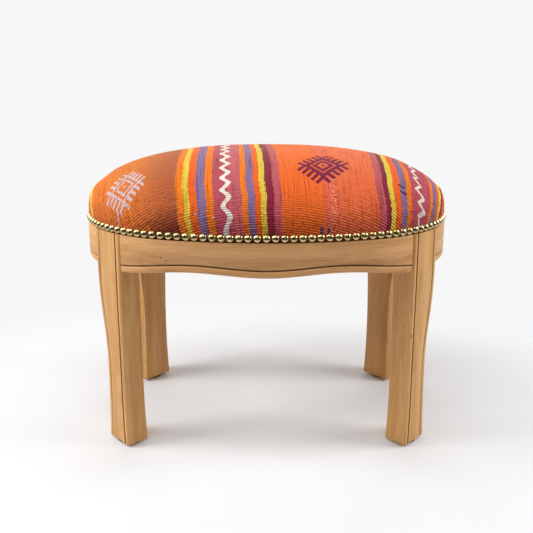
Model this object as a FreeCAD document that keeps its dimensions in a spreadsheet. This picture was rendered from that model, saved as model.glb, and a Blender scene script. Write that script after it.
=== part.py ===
import FreeCAD, Part
import math
import os
import Sketcher

# An oval bench: beech frame on four waisted legs, and a domed seat covered in kilim and edged with nails.
# The frame stands on the floor at Z = 0, with its length along X and its front towards -Y.

Vector = FreeCAD.Vector
UP = Vector(0, 0, 1)

# Driving dimensions, in millimetres, degrees and counts
SIZES = {
    # oval seat frame
    "frame_length": 560,
    "frame_depth": 399,
    "front_radius": 515,
    "frame_top": 345,
    "rail_thickness": 26,
    "rail_height": 70.5,
    "side_rail_height": 68.5,
    "scallop_rise": 5.5,
    "middle_rise": 6,
    "bead_height": 10.3,
    "bead_groove": 2.2,
    "bead_groove_depth": 2.6,
    "bead_upper_round": 2.3,
    "bead_lower_round": 4.5,
    "rebate_height": 15,
    "rebate_depth": 4.7,
    "ledge_round": 1.8,
    # legs, set across the corners
    "leg_angle": 46,
    "leg_proud": 0.4,
    "leg_sweep": 5.2,
    "leg_top_width": 60,
    "leg_waist_width": 46,
    "leg_foot_width": 51,
    "leg_top_depth": 33,
    "leg_waist_depth": 32.5,
    "leg_foot_depth": 34.5,
    "leg_waist_height": 112,
    "leg_bead": 8,
    "leg_quirk": 1.8,
    "leg_quirk_depth": 1.8,
    "leg_bead_round": 4,
    "leg_bead_turn": 1.5,
    # glides under the feet
    "glide_diameter": 32,
    "glide_height": 4,
    "glide_round": 1.2,
    "glide_pin_diameter": 4,
    "glide_pin_length": 15,
    # dowels between rails and legs
    "dowel_diameter": 8,
    "dowel_in_leg": 18,
    "dowel_in_rail": 20,
    "dowel_chamfer": 1,
    "upper_dowel_drop": 25,
    "lower_dowel_drop": 49,
    # corner blocks and their screws
    "block_thickness": 20,
    "block_height": 42,
    "block_drop": 16,
    "block_screw_spread": 60,
    "screw_diameter": 4,
    "screw_head_diameter": 8,
    "screw_head_height": 2.6,
    "screw_point": 4,
    "rail_screw_length": 32,
    "leg_screw_length": 38,
    # jute webbing and its tacks
    "webbing_width": 50,
    "webbing_thickness": 1.6,
    "webbing_inset": 10,
    "webbing_ramp": 9,
    "webbing_margin": 3,
    "long_straps": 3,
    "long_strap_pitch": 78,
    "cross_straps": 5,
    "cross_strap_pitch": 80,
    "tack_inset": 18,
    "tack_pitch": 15,
    "tack_head_diameter": 6,
    "tack_head_height": 0.8,
    "tack_diameter": 1.6,
    "tack_length": 10,
    "tack_point": 2,
    # soft layers of the seat
    "hessian_thickness": 0.8,
    "wadding_thickness": 6,
    "cover_thickness": 2.4,
    "crown_height": 88,
    "crown_power": 2.55,
    # brass nails round the cover
    "nail_rise": 6,
    "nail_pitch": 12,
    "nail_head_diameter": 11,
    "nail_head_height": 4.2,
    "nail_rim": 0.7,
    "nail_diameter": 1.8,
    "nail_length": 13,
    "nail_point": 3,
    # clearances
    "glue_gap": 0.05,
    "layer_gap": 0.1,
    "cover_gap": 0.3,
    "nail_seat": 0.02,
}

# Rows of sections in a dome, from its edge to the small flat at its top
DOME_STEPS = 9
DOME_LAST_ANGLE = math.radians(80)
# Points that the serpentine edge is drawn through
SCALLOP_POINTS = 17
# Room by which a cutting solid passes the piece that it cuts
OVERCUT = 5.0

LEGS = {
    "front_left": (-1, -1),
    "front_right": (1, -1),
    "rear_left": (-1, 1),
    "rear_right": (1, 1),
}

doc = FreeCAD.newDocument("kilim_bench")
sheet = doc.addObject("Spreadsheet::Sheet", "Sizes")
for row, (alias, amount) in enumerate(SIZES.items(), 1):
    sheet.set(f"A{row}", alias)
    sheet.set(f"B{row}", str(amount))
    sheet.setAlias(f"B{row}", alias)
doc.recompute()


def size(alias):
    """The driving dimension of that name, read from the sheet."""
    return float(sheet.get(alias))


def bound(text):
    """An expression with each driving dimension's name made a reference to the sheet."""
    words = sorted(SIZES, key=len, reverse=True)
    marked = text
    for number, word in enumerate(words):
        marked = marked.replace(word, f"<<{number}>>")
    for number, word in enumerate(words):
        marked = marked.replace(f"<<{number}>>", f"Sizes.{word}")
    return marked


def number_of(text):
    """What an expression of driving dimensions comes to."""
    return float(sheet.evalExpression(bound(text)))


# Sketches whose corners are bound to the sheet

def new_sketch(body, name, plane):
    """A sketch on one of the body's own origin planes."""
    sketch = body.newObject("Sketcher::SketchObject", name)
    support = [feature for feature in body.Origin.OriginFeatures if feature.Role == plane]
    sketch.AttachmentSupport = [(support[0], "")]
    sketch.MapMode = "FlatFace"
    return sketch


def arc_edge(start, end, radius):
    """An arc between two corners that bends to the left for a positive radius."""
    chord = end - start
    middle = (start + end) * 0.5
    left = Vector(-chord.y, chord.x, 0).normalize()
    reach = math.sqrt(max(radius * radius - chord.Length ** 2 / 4, 0))
    centre = middle + left * math.copysign(reach, radius)
    circle = Part.Circle(centre, UP, abs(radius))
    first = math.atan2(start.y - centre.y, start.x - centre.x)
    last = math.atan2(end.y - centre.y, end.x - centre.x)
    if radius < 0:
        first, last = last, first
    return Part.ArcOfCircle(circle, first, last)


def outline(sketch, corners, arcs=None):
    """A closed outline: corners are pairs of expressions, arcs give the radius of the edge after a corner."""
    arcs = arcs or {}
    points = [Vector(number_of(across), number_of(along), 0) for across, along in corners]
    count = len(corners)
    edges = []
    for index, start in enumerate(points):
        end = points[(index + 1) % count]
        if index in arcs:
            edges.append((sketch.addGeometry(arc_edge(start, end, number_of(arcs[index])), False), index))
        else:
            edges.append((sketch.addGeometry(Part.LineSegment(start, end), False), index))

    def ends(place):
        """The edge's number, and which of its points come first and last on the outline."""
        edge, index = edges[place % count]
        turned = index in arcs and number_of(arcs[index]) < 0
        return (edge, 2, 1) if turned else (edge, 1, 2)

    for index, (across, along) in enumerate(corners):
        edge, first, last = ends(index)
        following, next_first = ends(index + 1)[:2]
        sketch.addConstraint(Sketcher.Constraint("Coincident", edge, last, following, next_first))
        for kind, text in (("DistanceX", across), ("DistanceY", along)):
            place = sketch.addConstraint(Sketcher.Constraint(kind, edge, first, number_of(text)))
            sketch.setExpression(f"Constraints[{place}]", bound(text))
        if index in arcs:
            place = sketch.addConstraint(Sketcher.Constraint("Radius", edge, abs(number_of(arcs[index]))))
            sketch.setExpression(f"Constraints[{place}]", bound(f"abs({arcs[index]})"))


def turned_body(name, corners, arcs=None):
    """A body turned about Z from a half profile of (radius, height) corners."""
    body = doc.addObject("PartDesign::Body", name)
    profile = new_sketch(body, f"{name}_profile", "XZ_Plane")
    outline(profile, corners, arcs)
    turning = body.newObject("PartDesign::Revolution", f"{name}_turning")
    turning.Profile = profile
    turning.ReferenceAxis = (profile, ["V_Axis"])
    turning.Angle = 360
    return body


# The four-centre oval that every layer of the seat follows

HALF_LENGTH = size("frame_length") / 2
HALF_DEPTH = size("frame_depth") / 2
FRONT_RADIUS = size("front_radius")
END_CENTRE = ((FRONT_RADIUS - HALF_DEPTH) ** 2 - (FRONT_RADIUS - HALF_LENGTH) ** 2) / (
    2 * (FRONT_RADIUS - HALF_LENGTH))
END_RADIUS = HALF_LENGTH - END_CENTRE
FRONT_CENTRE = FRONT_RADIUS - HALF_DEPTH
ARC_MEETING = math.atan2(END_CENTRE, FRONT_CENTRE)


def front_point(inset, angle):
    """A point of the front arc, at an angle from -Y, some way inside the frame's outer line."""
    radius = FRONT_RADIUS - inset
    return Vector(radius * math.sin(angle), FRONT_CENTRE - radius * math.cos(angle), 0)


def end_point(inset, angle):
    """A point of the right-hand end arc, at an angle from -Y."""
    radius = END_RADIUS - inset
    return Vector(END_CENTRE + radius * math.sin(angle), -radius * math.cos(angle), 0)


def oval_wire(inset, height, share=1.0):
    """The oval inside the frame's outer line by inset, drawn to a share of its size, at a height."""
    meeting = ARC_MEETING

    def placed(point):
        return Vector(point.x * share, point.y * share, height)

    def across(point):
        return Vector(-point.x, -point.y, 0)

    front = [front_point(inset, angle) for angle in (-meeting, 0, meeting)]
    end = [end_point(inset, angle) for angle in (meeting, math.pi / 2, math.pi - meeting)]
    runs = [front, end, [across(point) for point in front], [across(point) for point in end]]
    return Part.Wire([Part.Arc(*[placed(point) for point in run]).toShape() for run in runs])


def oval_prism(inset, low, high):
    """A solid of the oval's plan between two heights."""
    return Part.Face(oval_wire(inset, low)).extrude(UP * (high - low))


def oval_ring(outer_inset, inner_inset, low, high):
    """The solid between two ovals, one inside the other."""
    return oval_prism(outer_inset, low, high).cut(oval_prism(inner_inset, low - OVERCUT, high + OVERCUT))


def oval_station(inset, distance):
    """The point and the outward direction at a distance round the oval from its front centre."""
    front_run = (FRONT_RADIUS - inset) * ARC_MEETING
    quarter = front_run + (END_RADIUS - inset) * (math.pi / 2 - ARC_MEETING)
    half_turns, rest = divmod(distance, 2 * quarter)
    mirrored = rest > quarter
    along = 2 * quarter - rest if mirrored else rest
    if along <= front_run:
        angle = along / (FRONT_RADIUS - inset)
        point = front_point(inset, angle)
    else:
        angle = ARC_MEETING + (along - front_run) / (END_RADIUS - inset)
        point = end_point(inset, angle)
    outward = Vector(math.sin(angle), -math.cos(angle), 0)
    if mirrored:
        point.y, outward.y = -point.y, -outward.y
    if int(half_turns) % 2:
        point, outward = point * -1, outward * -1
    return point, outward


def oval_length(inset):
    """The way once round the oval."""
    front_run = (FRONT_RADIUS - inset) * ARC_MEETING
    return 4 * (front_run + (END_RADIUS - inset) * (math.pi / 2 - ARC_MEETING))


def oval_reach_along(inset, side):
    """How far the oval reaches along X at a distance from its long axis."""
    if abs(side) <= (END_RADIUS - inset) * math.cos(ARC_MEETING):
        return END_CENTRE + math.sqrt((END_RADIUS - inset) ** 2 - side ** 2)
    return math.sqrt((FRONT_RADIUS - inset) ** 2 - (abs(side) + FRONT_CENTRE) ** 2)


def oval_reach_across(inset, along):
    """How far the oval reaches along Y at a distance from its short axis."""
    if abs(along) <= (FRONT_RADIUS - inset) * math.sin(ARC_MEETING):
        return math.sqrt((FRONT_RADIUS - inset) ** 2 - along ** 2) - FRONT_CENTRE
    return math.sqrt((END_RADIUS - inset) ** 2 - (abs(along) - END_CENTRE) ** 2)


# Heights that several pieces share

FRAME_TOP = size("frame_top")
LEDGE = FRAME_TOP - size("rebate_height")
NAIL_LINE = LEDGE + size("nail_rise")
RAIL_LOW = FRAME_TOP - size("rail_height")
SIDE_RAIL_LOW = FRAME_TOP - size("side_rail_height")
FRAME_LOW = min(RAIL_LOW, SIDE_RAIL_LOW)
GLUE_GAP = size("glue_gap")
LAYER_GAP = size("layer_gap")
LEG_ANGLE = math.radians(size("leg_angle"))
LEG_FACE = END_RADIUS + size("leg_proud")


def feature(name, shape):
    """A document object that holds a worked-out shape."""
    made = doc.addObject("Part::Feature", name)
    made.Shape = shape
    return made


def leg_place(name):
    """The frame of a leg: its origin on the floor under the outer face, +Y pointing out of the bench."""
    side, end = LEGS[name]
    outward = Vector(side * math.sin(LEG_ANGLE), end * math.cos(LEG_ANGLE), 0)
    base = Vector(side * END_CENTRE, 0, 0) + outward * LEG_FACE
    turn = math.degrees(math.atan2(-outward.x, outward.y))
    return FreeCAD.Placement(base, FreeCAD.Rotation(UP, turn))


def in_leg(name, point, direction):
    """A placement in a leg's frame whose +Z axis points along a direction."""
    inner = FreeCAD.Placement(point, FreeCAD.Rotation(UP, direction))
    return leg_place(name).multiply(inner)


def copies(master, places):
    """The master's solid at each placement."""
    made = []
    for place in places:
        shape = master.Shape.copy()
        shape.Placement = place.multiply(shape.Placement)
        made.append(shape)
    return made


def bores(diameter, low, high, places):
    """Round holes along each placement's Z axis, from low to high."""
    made = []
    for place in places:
        hole = Part.makeCylinder(diameter / 2, high - low, Vector(0, 0, low))
        hole.Placement = place
        made.append(hole)
    return made


def pierced(shape, tools):
    """The shape with every tool that comes near it cut away."""
    near = [tool for tool in tools if shape.BoundBox.intersect(tool.BoundBox)]
    return shape.cut(near) if near else shape


# Fasteners, each turned once and then set in all its places

nail = turned_body("nail", [
    ("0", "-nail_length"),
    ("nail_diameter / 2", "-nail_length + nail_point"),
    ("nail_diameter / 2", "0"),
    ("nail_head_diameter / 2", "0"),
    ("nail_head_diameter / 2", "nail_rim"),
    ("0", "nail_head_height"),
], {4: "((nail_head_diameter / 2)^2 + (nail_head_height - nail_rim)^2) / (2 * (nail_head_height - nail_rim))"})

tack = turned_body("tack", [
    ("0", "-tack_length"),
    ("tack_diameter / 2", "-tack_length + tack_point"),
    ("tack_diameter / 2", "0"),
    ("tack_head_diameter / 2", "0"),
    ("tack_head_diameter / 2", "tack_head_height / 2"),
    ("tack_diameter / 2", "tack_head_height"),
    ("0", "tack_head_height"),
])

dowel = turned_body("dowel", [
    ("0", "-dowel_in_leg"),
    ("dowel_diameter / 2 - dowel_chamfer", "-dowel_in_leg"),
    ("dowel_diameter / 2", "-dowel_in_leg + dowel_chamfer"),
    ("dowel_diameter / 2", "dowel_in_rail - dowel_chamfer"),
    ("dowel_diameter / 2 - dowel_chamfer", "dowel_in_rail"),
    ("0", "dowel_in_rail"),
])


def wood_screw(name, length):
    """A countersunk screw whose head is flush at Z = 0 and which points along +Z."""
    return turned_body(name, [
        ("0", "0"),
        ("screw_head_diameter / 2", "0"),
        ("screw_diameter / 2", "screw_head_height"),
        ("screw_diameter / 2", f"{length} - screw_point"),
        ("0", length),
    ])


rail_screw = wood_screw("rail_screw", "rail_screw_length")
leg_screw = wood_screw("leg_screw", "leg_screw_length")

glide = turned_body("glide", [
    ("0", "0"),
    ("glide_diameter / 2 - glide_round", "0"),
    ("glide_diameter / 2", "glide_round"),
    ("glide_diameter / 2", "glide_height"),
    ("glide_pin_diameter / 2", "glide_height"),
    ("glide_pin_diameter / 2", "glide_height + glide_pin_length"),
    ("0", "glide_height + glide_pin_length"),
], {1: "glide_round"})
doc.recompute()

# Places of the fasteners

COVER_INSET = size("rebate_depth") - size("cover_gap") - size("cover_thickness")
HALF_TOP = size("leg_top_width") / 2

# No nail is driven into a joint. Each rail and each leg has its own even row, which starts and ends half a
# step from the joints; a rail's row has an odd number of nails, so that one stands at the rail's middle.
NAIL_RADIUS = END_RADIUS - COVER_INSET
quarter_run = oval_length(COVER_INSET) / 4
leg_run = 2 * NAIL_RADIUS * math.asin(HALF_TOP / NAIL_RADIUS)
side_half_run = NAIL_RADIUS * (math.pi / 2 - LEG_ANGLE) - leg_run / 2
front_half_run = quarter_run - side_half_run - leg_run
nail_places = []
row_start = -front_half_run
for half_rail in (front_half_run, side_half_run, front_half_run, side_half_run):
    rail_nails = 2 * round((2 * half_rail / size("nail_pitch") - 1) / 2) + 1
    leg_nails = int(leg_run / size("nail_pitch"))
    for run, nails in ((2 * half_rail, rail_nails), (leg_run, leg_nails)):
        for index in range(nails):
            distance = (row_start + (index + 0.5) * run / nails) % oval_length(COVER_INSET)
            point, outward = oval_station(COVER_INSET, distance)
            base = point + outward * size("nail_seat") + UP * NAIL_LINE
            nail_places.append(FreeCAD.Placement(base, FreeCAD.Rotation(UP, outward)))
        row_start += run

RAIL_MIDDLE = (math.sqrt(END_RADIUS ** 2 - HALF_TOP ** 2)
               + math.sqrt((END_RADIUS - size("rail_thickness")) ** 2 - HALF_TOP ** 2)) / 2 - LEG_FACE
dowel_places = []
for name in LEGS:
    for side in (-1, 1):
        for drop in ("upper_dowel_drop", "lower_dowel_drop"):
            point = Vector(side * (HALF_TOP + GLUE_GAP), RAIL_MIDDLE, FRAME_TOP - size(drop))
            dowel_places.append(in_leg(name, point, Vector(side, 0, 0)))

BLOCK_OUTER = -size("leg_top_depth") - GLUE_GAP
BLOCK_INNER = BLOCK_OUTER - size("block_thickness")
BLOCK_LOW = FRAME_TOP - size("block_drop") - size("block_height")
SCREW_HEIGHT = BLOCK_LOW + size("block_height") / 2
rail_screw_places = []
leg_screw_places = []
for name in LEGS:
    for across in (-size("block_screw_spread"), 0, size("block_screw_spread")):
        place = in_leg(name, Vector(across, BLOCK_INNER, SCREW_HEIGHT), Vector(0, 1, 0))
        (rail_screw_places if across else leg_screw_places).append(place)



def strap_rows(count, pitch):
    """The places of a number of straps, evenly spaced about the bench's middle."""
    return [(index - (count - 1) / 2) * pitch for index in range(count)]


LONG_STRAPS = strap_rows(int(size("long_straps")), size("long_strap_pitch"))
CROSS_STRAPS = strap_rows(int(size("cross_straps")), size("cross_strap_pitch"))
TACK_HEIGHT = FRAME_TOP + size("webbing_thickness")
tack_points = []
for offset in (-size("tack_pitch"), 0, size("tack_pitch")):
    for end in (-1, 1):
        for side in LONG_STRAPS:
            reach = oval_reach_along(size("tack_inset"), side + offset)
            tack_points.append(Vector(end * reach, side + offset, TACK_HEIGHT))
        for along in CROSS_STRAPS:
            reach = oval_reach_across(size("tack_inset"), along + offset)
            tack_points.append(Vector(along + offset, end * reach, TACK_HEIGHT))
tack_places = [FreeCAD.Placement(point, FreeCAD.Rotation()) for point in tack_points]

# Holes that those fasteners need

HOLE = 2 * GLUE_GAP
nail_bores = bores(size("nail_diameter") + HOLE, -size("nail_length") - GLUE_GAP, OVERCUT, nail_places)
dowel_bores = bores(size("dowel_diameter") + HOLE, -size("dowel_in_leg") - GLUE_GAP,
                    size("dowel_in_rail") + GLUE_GAP, dowel_places)
SCREW_HOLE = size("screw_diameter") + HOLE
rail_screw_bores = bores(SCREW_HOLE, 0, size("rail_screw_length") + GLUE_GAP, rail_screw_places)
leg_screw_bores = bores(SCREW_HOLE, 0, size("leg_screw_length") + GLUE_GAP, leg_screw_places)
tack_bores = bores(size("tack_diameter") + HOLE, -size("tack_length") - GLUE_GAP, 0, tack_places)
wood_bores = nail_bores + dowel_bores + rail_screw_bores + leg_screw_bores + tack_bores

countersinks = []
for place in rail_screw_places + leg_screw_places:
    rim = size("screw_head_diameter") / 2 + GLUE_GAP
    sink = Part.makeCone(rim, size("screw_diameter") / 2 + GLUE_GAP, size("screw_head_height") + GLUE_GAP)
    sink.Placement = place
    countersinks.append(sink)

# The rebate that the cover is let into, all round the top of the frame
rebate = oval_ring(-OVERCUT, size("rebate_depth"), LEDGE, FRAME_TOP + OVERCUT)

# Legs: waisted in width, and swept in below the frame

SHOULDER = "(frame_top - max(rail_height; side_rail_height))"
LEG_DEPTH = "(leg_sweep + max(leg_foot_depth; leg_waist_depth; leg_top_depth))"
# Breadth from the leg's middle line at the foot, the waist and the shoulder
HALF_WIDTHS = ("leg_foot_width / 2", "leg_waist_width / 2", "leg_top_width / 2")
# Depth behind the face of the frame, of the leg's outer face and of its inner one
OUTER_FACE = ("leg_sweep", "leg_sweep", "0")
INNER_FACE = ("(leg_sweep + leg_foot_depth)", "(leg_sweep + leg_waist_depth)", "leg_top_depth")


def bend_radius(start, end, low, high):
    """The radius of an arc that is upright at its start and steps aside to its end, or none if it is straight."""
    step = f"(({end}) - ({start}))"
    rise = f"(({high}) - ({low}))"
    return f"({rise}^2 + {step}^2) / (2 * {step})" if number_of(step) else None


def leg_edge(breadths, inward="0"):
    """One edge of a leg from its foot to the frame's top: its corners, and the radius of each bent stretch.

    It stands upright at the waist and at the shoulder, and takes an even S-bend between them.
    """
    foot, waist, top = breadths
    half = f"(({waist}) + ({top})) / 2"
    bend = f"(leg_waist_height + {SHOULDER}) / 2"
    heights = ("glide_height", "leg_waist_height", bend, SHOULDER, "frame_top")
    corners = [(f"{breadth} - ({inward})", height)
               for breadth, height in zip((foot, waist, half, top, top), heights)]
    flare = bend_radius(waist, foot, "glide_height", "leg_waist_height")
    sway = bend_radius(waist, half, "leg_waist_height", bend)
    bends = {0: flare and f"-({flare})", 1: sway and f"-({sway})", 2: sway}
    return corners, {place: radius for place, radius in bends.items() if radius}


def flipped(corners):
    """The same corners on the other side of the middle line."""
    return [(f"-({across})", along) for across, along in corners]


def reversed_bends(bends, count, sign=""):
    """The bends of an edge of that many corners when it is followed back from its end after itself."""
    return {2 * count - 2 - place: f"{sign}({radius})" for place, radius in bends.items()}


def turned_bends(bends):
    """The same bends the other way."""
    return {place: f"-({radius})" for place, radius in bends.items()}


def leg_stock():
    """A leg without its beads: the frame's face at Y = 0, its depth towards -Y."""
    body = doc.addObject("PartDesign::Body", "leg_stock")
    front = new_sketch(body, "leg_front", "XZ_Plane")
    right, bends = leg_edge(HALF_WIDTHS)
    outline(front, right + flipped(right)[::-1], {**bends, **reversed_bends(bends, len(right))})
    plank = body.newObject("PartDesign::Pad", "leg_plank")
    plank.Profile = front
    plank.setExpression("Length", bound(LEG_DEPTH))
    doc.recompute()
    for name, breadths, past in (
        ("leg_inside", INNER_FACE, f"-2 * {LEG_DEPTH}"),
        ("leg_outside", OUTER_FACE, LEG_DEPTH),
    ):
        profile = new_sketch(body, name, "YZ_Plane")
        face, bends = leg_edge(breadths)
        outline(profile, flipped(face) + [(past, "frame_top"), (past, "glide_height")], turned_bends(bends))
        shaved = body.newObject("PartDesign::Pocket", f"{name}_cut")
        shaved.Profile = profile
        shaved.Type = "ThroughAll"
        shaved.SideType = "Symmetric"
        doc.recompute()
    return body


def leg_quirks():
    """What the two grooves beside a leg's beads take away, to one depth below the swept outer face."""
    body = doc.addObject("PartDesign::Body", "leg_quirks")
    bands = new_sketch(body, "quirk_bands", "XZ_Plane")
    near, bends = leg_edge(HALF_WIDTHS, "leg_bead")
    far = leg_edge(HALF_WIDTHS, "leg_bead + leg_quirk")[0]
    loop = near + far[::-1]
    loop_bends = {**bends, **reversed_bends(bends, len(near), "-")}
    outline(bands, loop, loop_bends)
    outline(bands, flipped(loop), turned_bends(loop_bends))
    strips = body.newObject("PartDesign::Pad", "quirk_strips")
    strips.Profile = bands
    strips.setExpression("Length", bound(LEG_DEPTH))
    doc.recompute()
    profile = new_sketch(body, "quirk_floor", "YZ_Plane")
    floor, bends = leg_edge(OUTER_FACE, "-leg_quirk_depth")
    past = f"-2 * {LEG_DEPTH}"
    outline(profile, flipped(floor) + [(past, "frame_top"), (past, "glide_height")], turned_bends(bends))
    kept = body.newObject("PartDesign::Pocket", "quirk_floor_cut")
    kept.Profile = profile
    kept.Type = "ThroughAll"
    kept.SideType = "Symmetric"
    doc.recompute()
    return body


def bead_edges(shape, inward):
    """The long edges of the outer face that run beside a leg's corners, some way in from them."""
    corners = leg_edge(HALF_WIDTHS)[0]
    face = leg_edge(OUTER_FACE)[0]
    line = [Vector(number_of(across) - inward, -number_of(depth), number_of(height))
            for (across, height), (depth, _) in zip(corners, face)]
    found = []
    for edge in shape.Edges:
        ends = [Vector(abs(end.X), end.Y, end.Z) for end in edge.Vertexes]
        if all(min(end.distanceToPoint(point) for point in line) < GLUE_GAP for end in ends):
            found.append(edge)
    return found


blank = leg_stock().Shape.cut(leg_quirks().Shape)
corner_round = min(size("leg_bead_round"), size("leg_bead") * 0.5)
blank = blank.makeFillet(corner_round, bead_edges(blank, 0))
inner_round = min(size("leg_bead_turn"), size("leg_quirk_depth") * 0.9, size("leg_bead") * 0.4)
blank = blank.makeFillet(inner_round, bead_edges(blank, size("leg_bead")))
leg_blank = feature("leg_blank", blank)

foot_centre = Vector(0, -size("leg_sweep") - size("leg_foot_depth") / 2, 0)
PIN_HOLE = size("glide_pin_diameter") + HOLE
PIN_TOP = size("glide_height") + size("glide_pin_length") + GLUE_GAP
for name in LEGS:
    foot_place = leg_place(name).multiply(FreeCAD.Placement(foot_centre, FreeCAD.Rotation()))
    whole = copies(leg_blank, [leg_place(name)])[0]
    feature(f"leg_{name}", pierced(whole.cut(rebate), wood_bores + bores(PIN_HOLE, 0, PIN_TOP, [foot_place])))
    feature(f"glide_{name}", copies(glide, [foot_place])[0])

# Rails: one oval ring, parted by the legs into four

ring = oval_ring(0, size("rail_thickness"), FRAME_LOW, FRAME_TOP)
slots = []
for name in LEGS:
    slot_width = size("leg_top_width") + 2 * GLUE_GAP
    slot_depth = 3 * size("leg_top_depth")
    slot_corner = Vector(-slot_width / 2, -slot_depth / 2, FRAME_LOW - OVERCUT)
    slot = Part.makeBox(slot_width, slot_depth, FRAME_TOP - FRAME_LOW + 2 * OVERCUT, slot_corner)
    slot.Placement = leg_place(name)
    slots.append(slot)
lengths = ring.cut(slots).cut(rebate).Solids
front_blank = min(lengths, key=lambda solid: solid.CenterOfMass.y)
rear_blank = max(lengths, key=lambda solid: solid.CenterOfMass.y)
left_blank = min(lengths, key=lambda solid: solid.CenterOfMass.x)
right_blank = max(lengths, key=lambda solid: solid.CenterOfMass.x)

JOINT_REACH = END_CENTRE + END_RADIUS * math.sin(LEG_ANGLE) - HALF_TOP * math.cos(LEG_ANGLE)


def scallop_curve(lift):
    """The serpentine lower edge of the front rail, lifted: lowest at both legs, and low at the middle."""
    points = []
    span = JOINT_REACH + 2 * OVERCUT
    for index in range(SCALLOP_POINTS):
        along = span * (2 * index / (SCALLOP_POINTS - 1) - 1)
        share = along / JOINT_REACH
        swell = size("scallop_rise") * math.sin(math.pi * share) ** 2 + size("middle_rise") * (1 - share ** 4)
        points.append(Vector(along, 0, RAIL_LOW + swell + lift))
    curve = Part.BSplineCurve()
    curve.interpolate(points)
    return curve.toShape()


def sheet_below(curve, depth):
    """The upright face between a curve and a line that far below its ends, drawn out over the whole depth."""
    first, last = curve.Vertexes[0].Point, curve.Vertexes[-1].Point
    low = min(first.z, last.z) - depth
    corners = [last, Vector(last.x, 0, low), Vector(first.x, 0, low), first]
    face = Part.Face(Part.Wire([curve] + Part.makePolygon(corners).Edges))
    face.translate(Vector(0, -HALF_DEPTH - OVERCUT, 0))
    return face.extrude(Vector(0, 2 * (HALF_DEPTH + OVERCUT), 0))


def long_edges(rail, bead, upper):
    """The upper or lower long edges of a rail's outer faces: of its bead, or of the face above the groove."""
    found = []
    for face in rail.Faces:
        on_oval = isinstance(face.Surface, Part.Cylinder) and any(
            abs(face.Surface.Radius - radius) < GLUE_GAP for radius in (size("front_radius"), END_RADIUS))
        if not on_oval or (face.BoundBox.ZMax < LEDGE - GLUE_GAP) != bead:
            continue
        for edge in face.Edges:
            first, last = (end.Point for end in edge.Vertexes)
            runs_along = math.hypot(last.x - first.x, last.y - first.y) > GLUE_GAP
            if runs_along and (edge.CenterOfMass.z > face.CenterOfMass.z) == upper:
                found.append(edge)
    return found


def eased(rail):
    """The rail with its ledge eased, and its bead rounded over towards the groove and the lower edge."""
    upper_round = min(size("bead_upper_round"), size("bead_groove_depth") * 0.9, size("bead_height") * 0.4)
    lower_round = min(size("bead_lower_round"), size("bead_height") * 0.5)
    rail = rail.makeFillet(upper_round, long_edges(rail, True, True))
    rail = rail.makeFillet(lower_round, long_edges(rail, True, False))
    ledge_round = min(size("ledge_round"), size("rebate_depth") * 0.4)
    return rail.makeFillet(ledge_round, long_edges(rail, False, True))


skin = oval_ring(-OVERCUT, size("bead_groove_depth"), FRAME_LOW - OVERCUT, FRAME_TOP)
below_edge = sheet_below(scallop_curve(0), 4 * OVERCUT)
below_bead = sheet_below(scallop_curve(size("bead_height")), 4 * OVERCUT)
below_groove = sheet_below(scallop_curve(size("bead_height") + size("bead_groove")), 2 * OVERCUT)
serpentine_groove = below_groove.cut(below_bead).common(skin)
for name, blank in (("front_rail", front_blank), ("rear_rail", rear_blank)):
    feature(name, pierced(eased(blank.cut(below_edge).cut(serpentine_groove)), wood_bores))

side_bead = SIDE_RAIL_LOW + size("bead_height")
side_groove = oval_ring(-OVERCUT, size("bead_groove_depth"), side_bead, side_bead + size("bead_groove"))
below_side = oval_prism(-OVERCUT, FRAME_LOW - OVERCUT, SIDE_RAIL_LOW)
for name, blank in (("left_rail", left_blank), ("right_rail", right_blank)):
    feature(name, pierced(eased(blank.cut(below_side).cut(side_groove)), wood_bores))

# Corner blocks behind the legs, shaped to the inside of the rails

inside_rails = oval_prism(size("rail_thickness") + GLUE_GAP, BLOCK_LOW, BLOCK_LOW + size("block_height"))
for name in LEGS:
    slab = doc.addObject("Part::Box", f"block_slab_{name}")
    slab.setExpression("Length", bound("frame_depth"))
    slab.setExpression("Width", bound("block_thickness"))
    slab.setExpression("Height", bound("block_height"))
    corner = Vector(-HALF_DEPTH, BLOCK_INNER, BLOCK_LOW)
    slab.Placement = leg_place(name).multiply(FreeCAD.Placement(corner, FreeCAD.Rotation()))
    doc.recompute()
    block = slab.Shape.common(inside_rails)
    feature(f"corner_block_{name}", pierced(block, rail_screw_bores + leg_screw_bores + countersinks))

# Interlaced webbing: each strap rides over every other strap that it meets

STRAP_LOW = FRAME_TOP
STRAP_LIFT = size("webbing_thickness") + LAYER_GAP


def strap_profile(half_length, crossings):
    """The lower line of a strap as (along, height) corners, lifted over the straps that it crosses."""
    shelf = size("webbing_width") / 2 + size("webbing_margin")
    foot = shelf + size("webbing_ramp")
    corners = [(-half_length, STRAP_LOW)]
    for along in crossings:
        corners += [(along - foot, STRAP_LOW), (along - shelf, STRAP_LOW + STRAP_LIFT),
                    (along + shelf, STRAP_LOW + STRAP_LIFT), (along + foot, STRAP_LOW)]
    return corners + [(half_length, STRAP_LOW)]


def strap(half_length, crossings, side, along_x):
    """A strap at a distance to one side of the bench's middle, trimmed to the frame's oval."""
    lower = strap_profile(half_length, crossings)
    upper = [(along, height + size("webbing_thickness")) for along, height in reversed(lower)]
    edge = side - size("webbing_width") / 2
    loop = lower + upper + lower[:1]
    if along_x:
        points = [Vector(along, edge, height) for along, height in loop]
        run = Vector(0, size("webbing_width"), 0)
    else:
        points = [Vector(edge, along, height) for along, height in loop]
        run = Vector(size("webbing_width"), 0, 0)
    band = Part.Face(Part.makePolygon(points)).extrude(run)
    trim = oval_prism(size("webbing_inset"), STRAP_LOW - OVERCUT, STRAP_LOW + 2 * OVERCUT)
    return pierced(band.common(trim), tack_bores)


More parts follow.
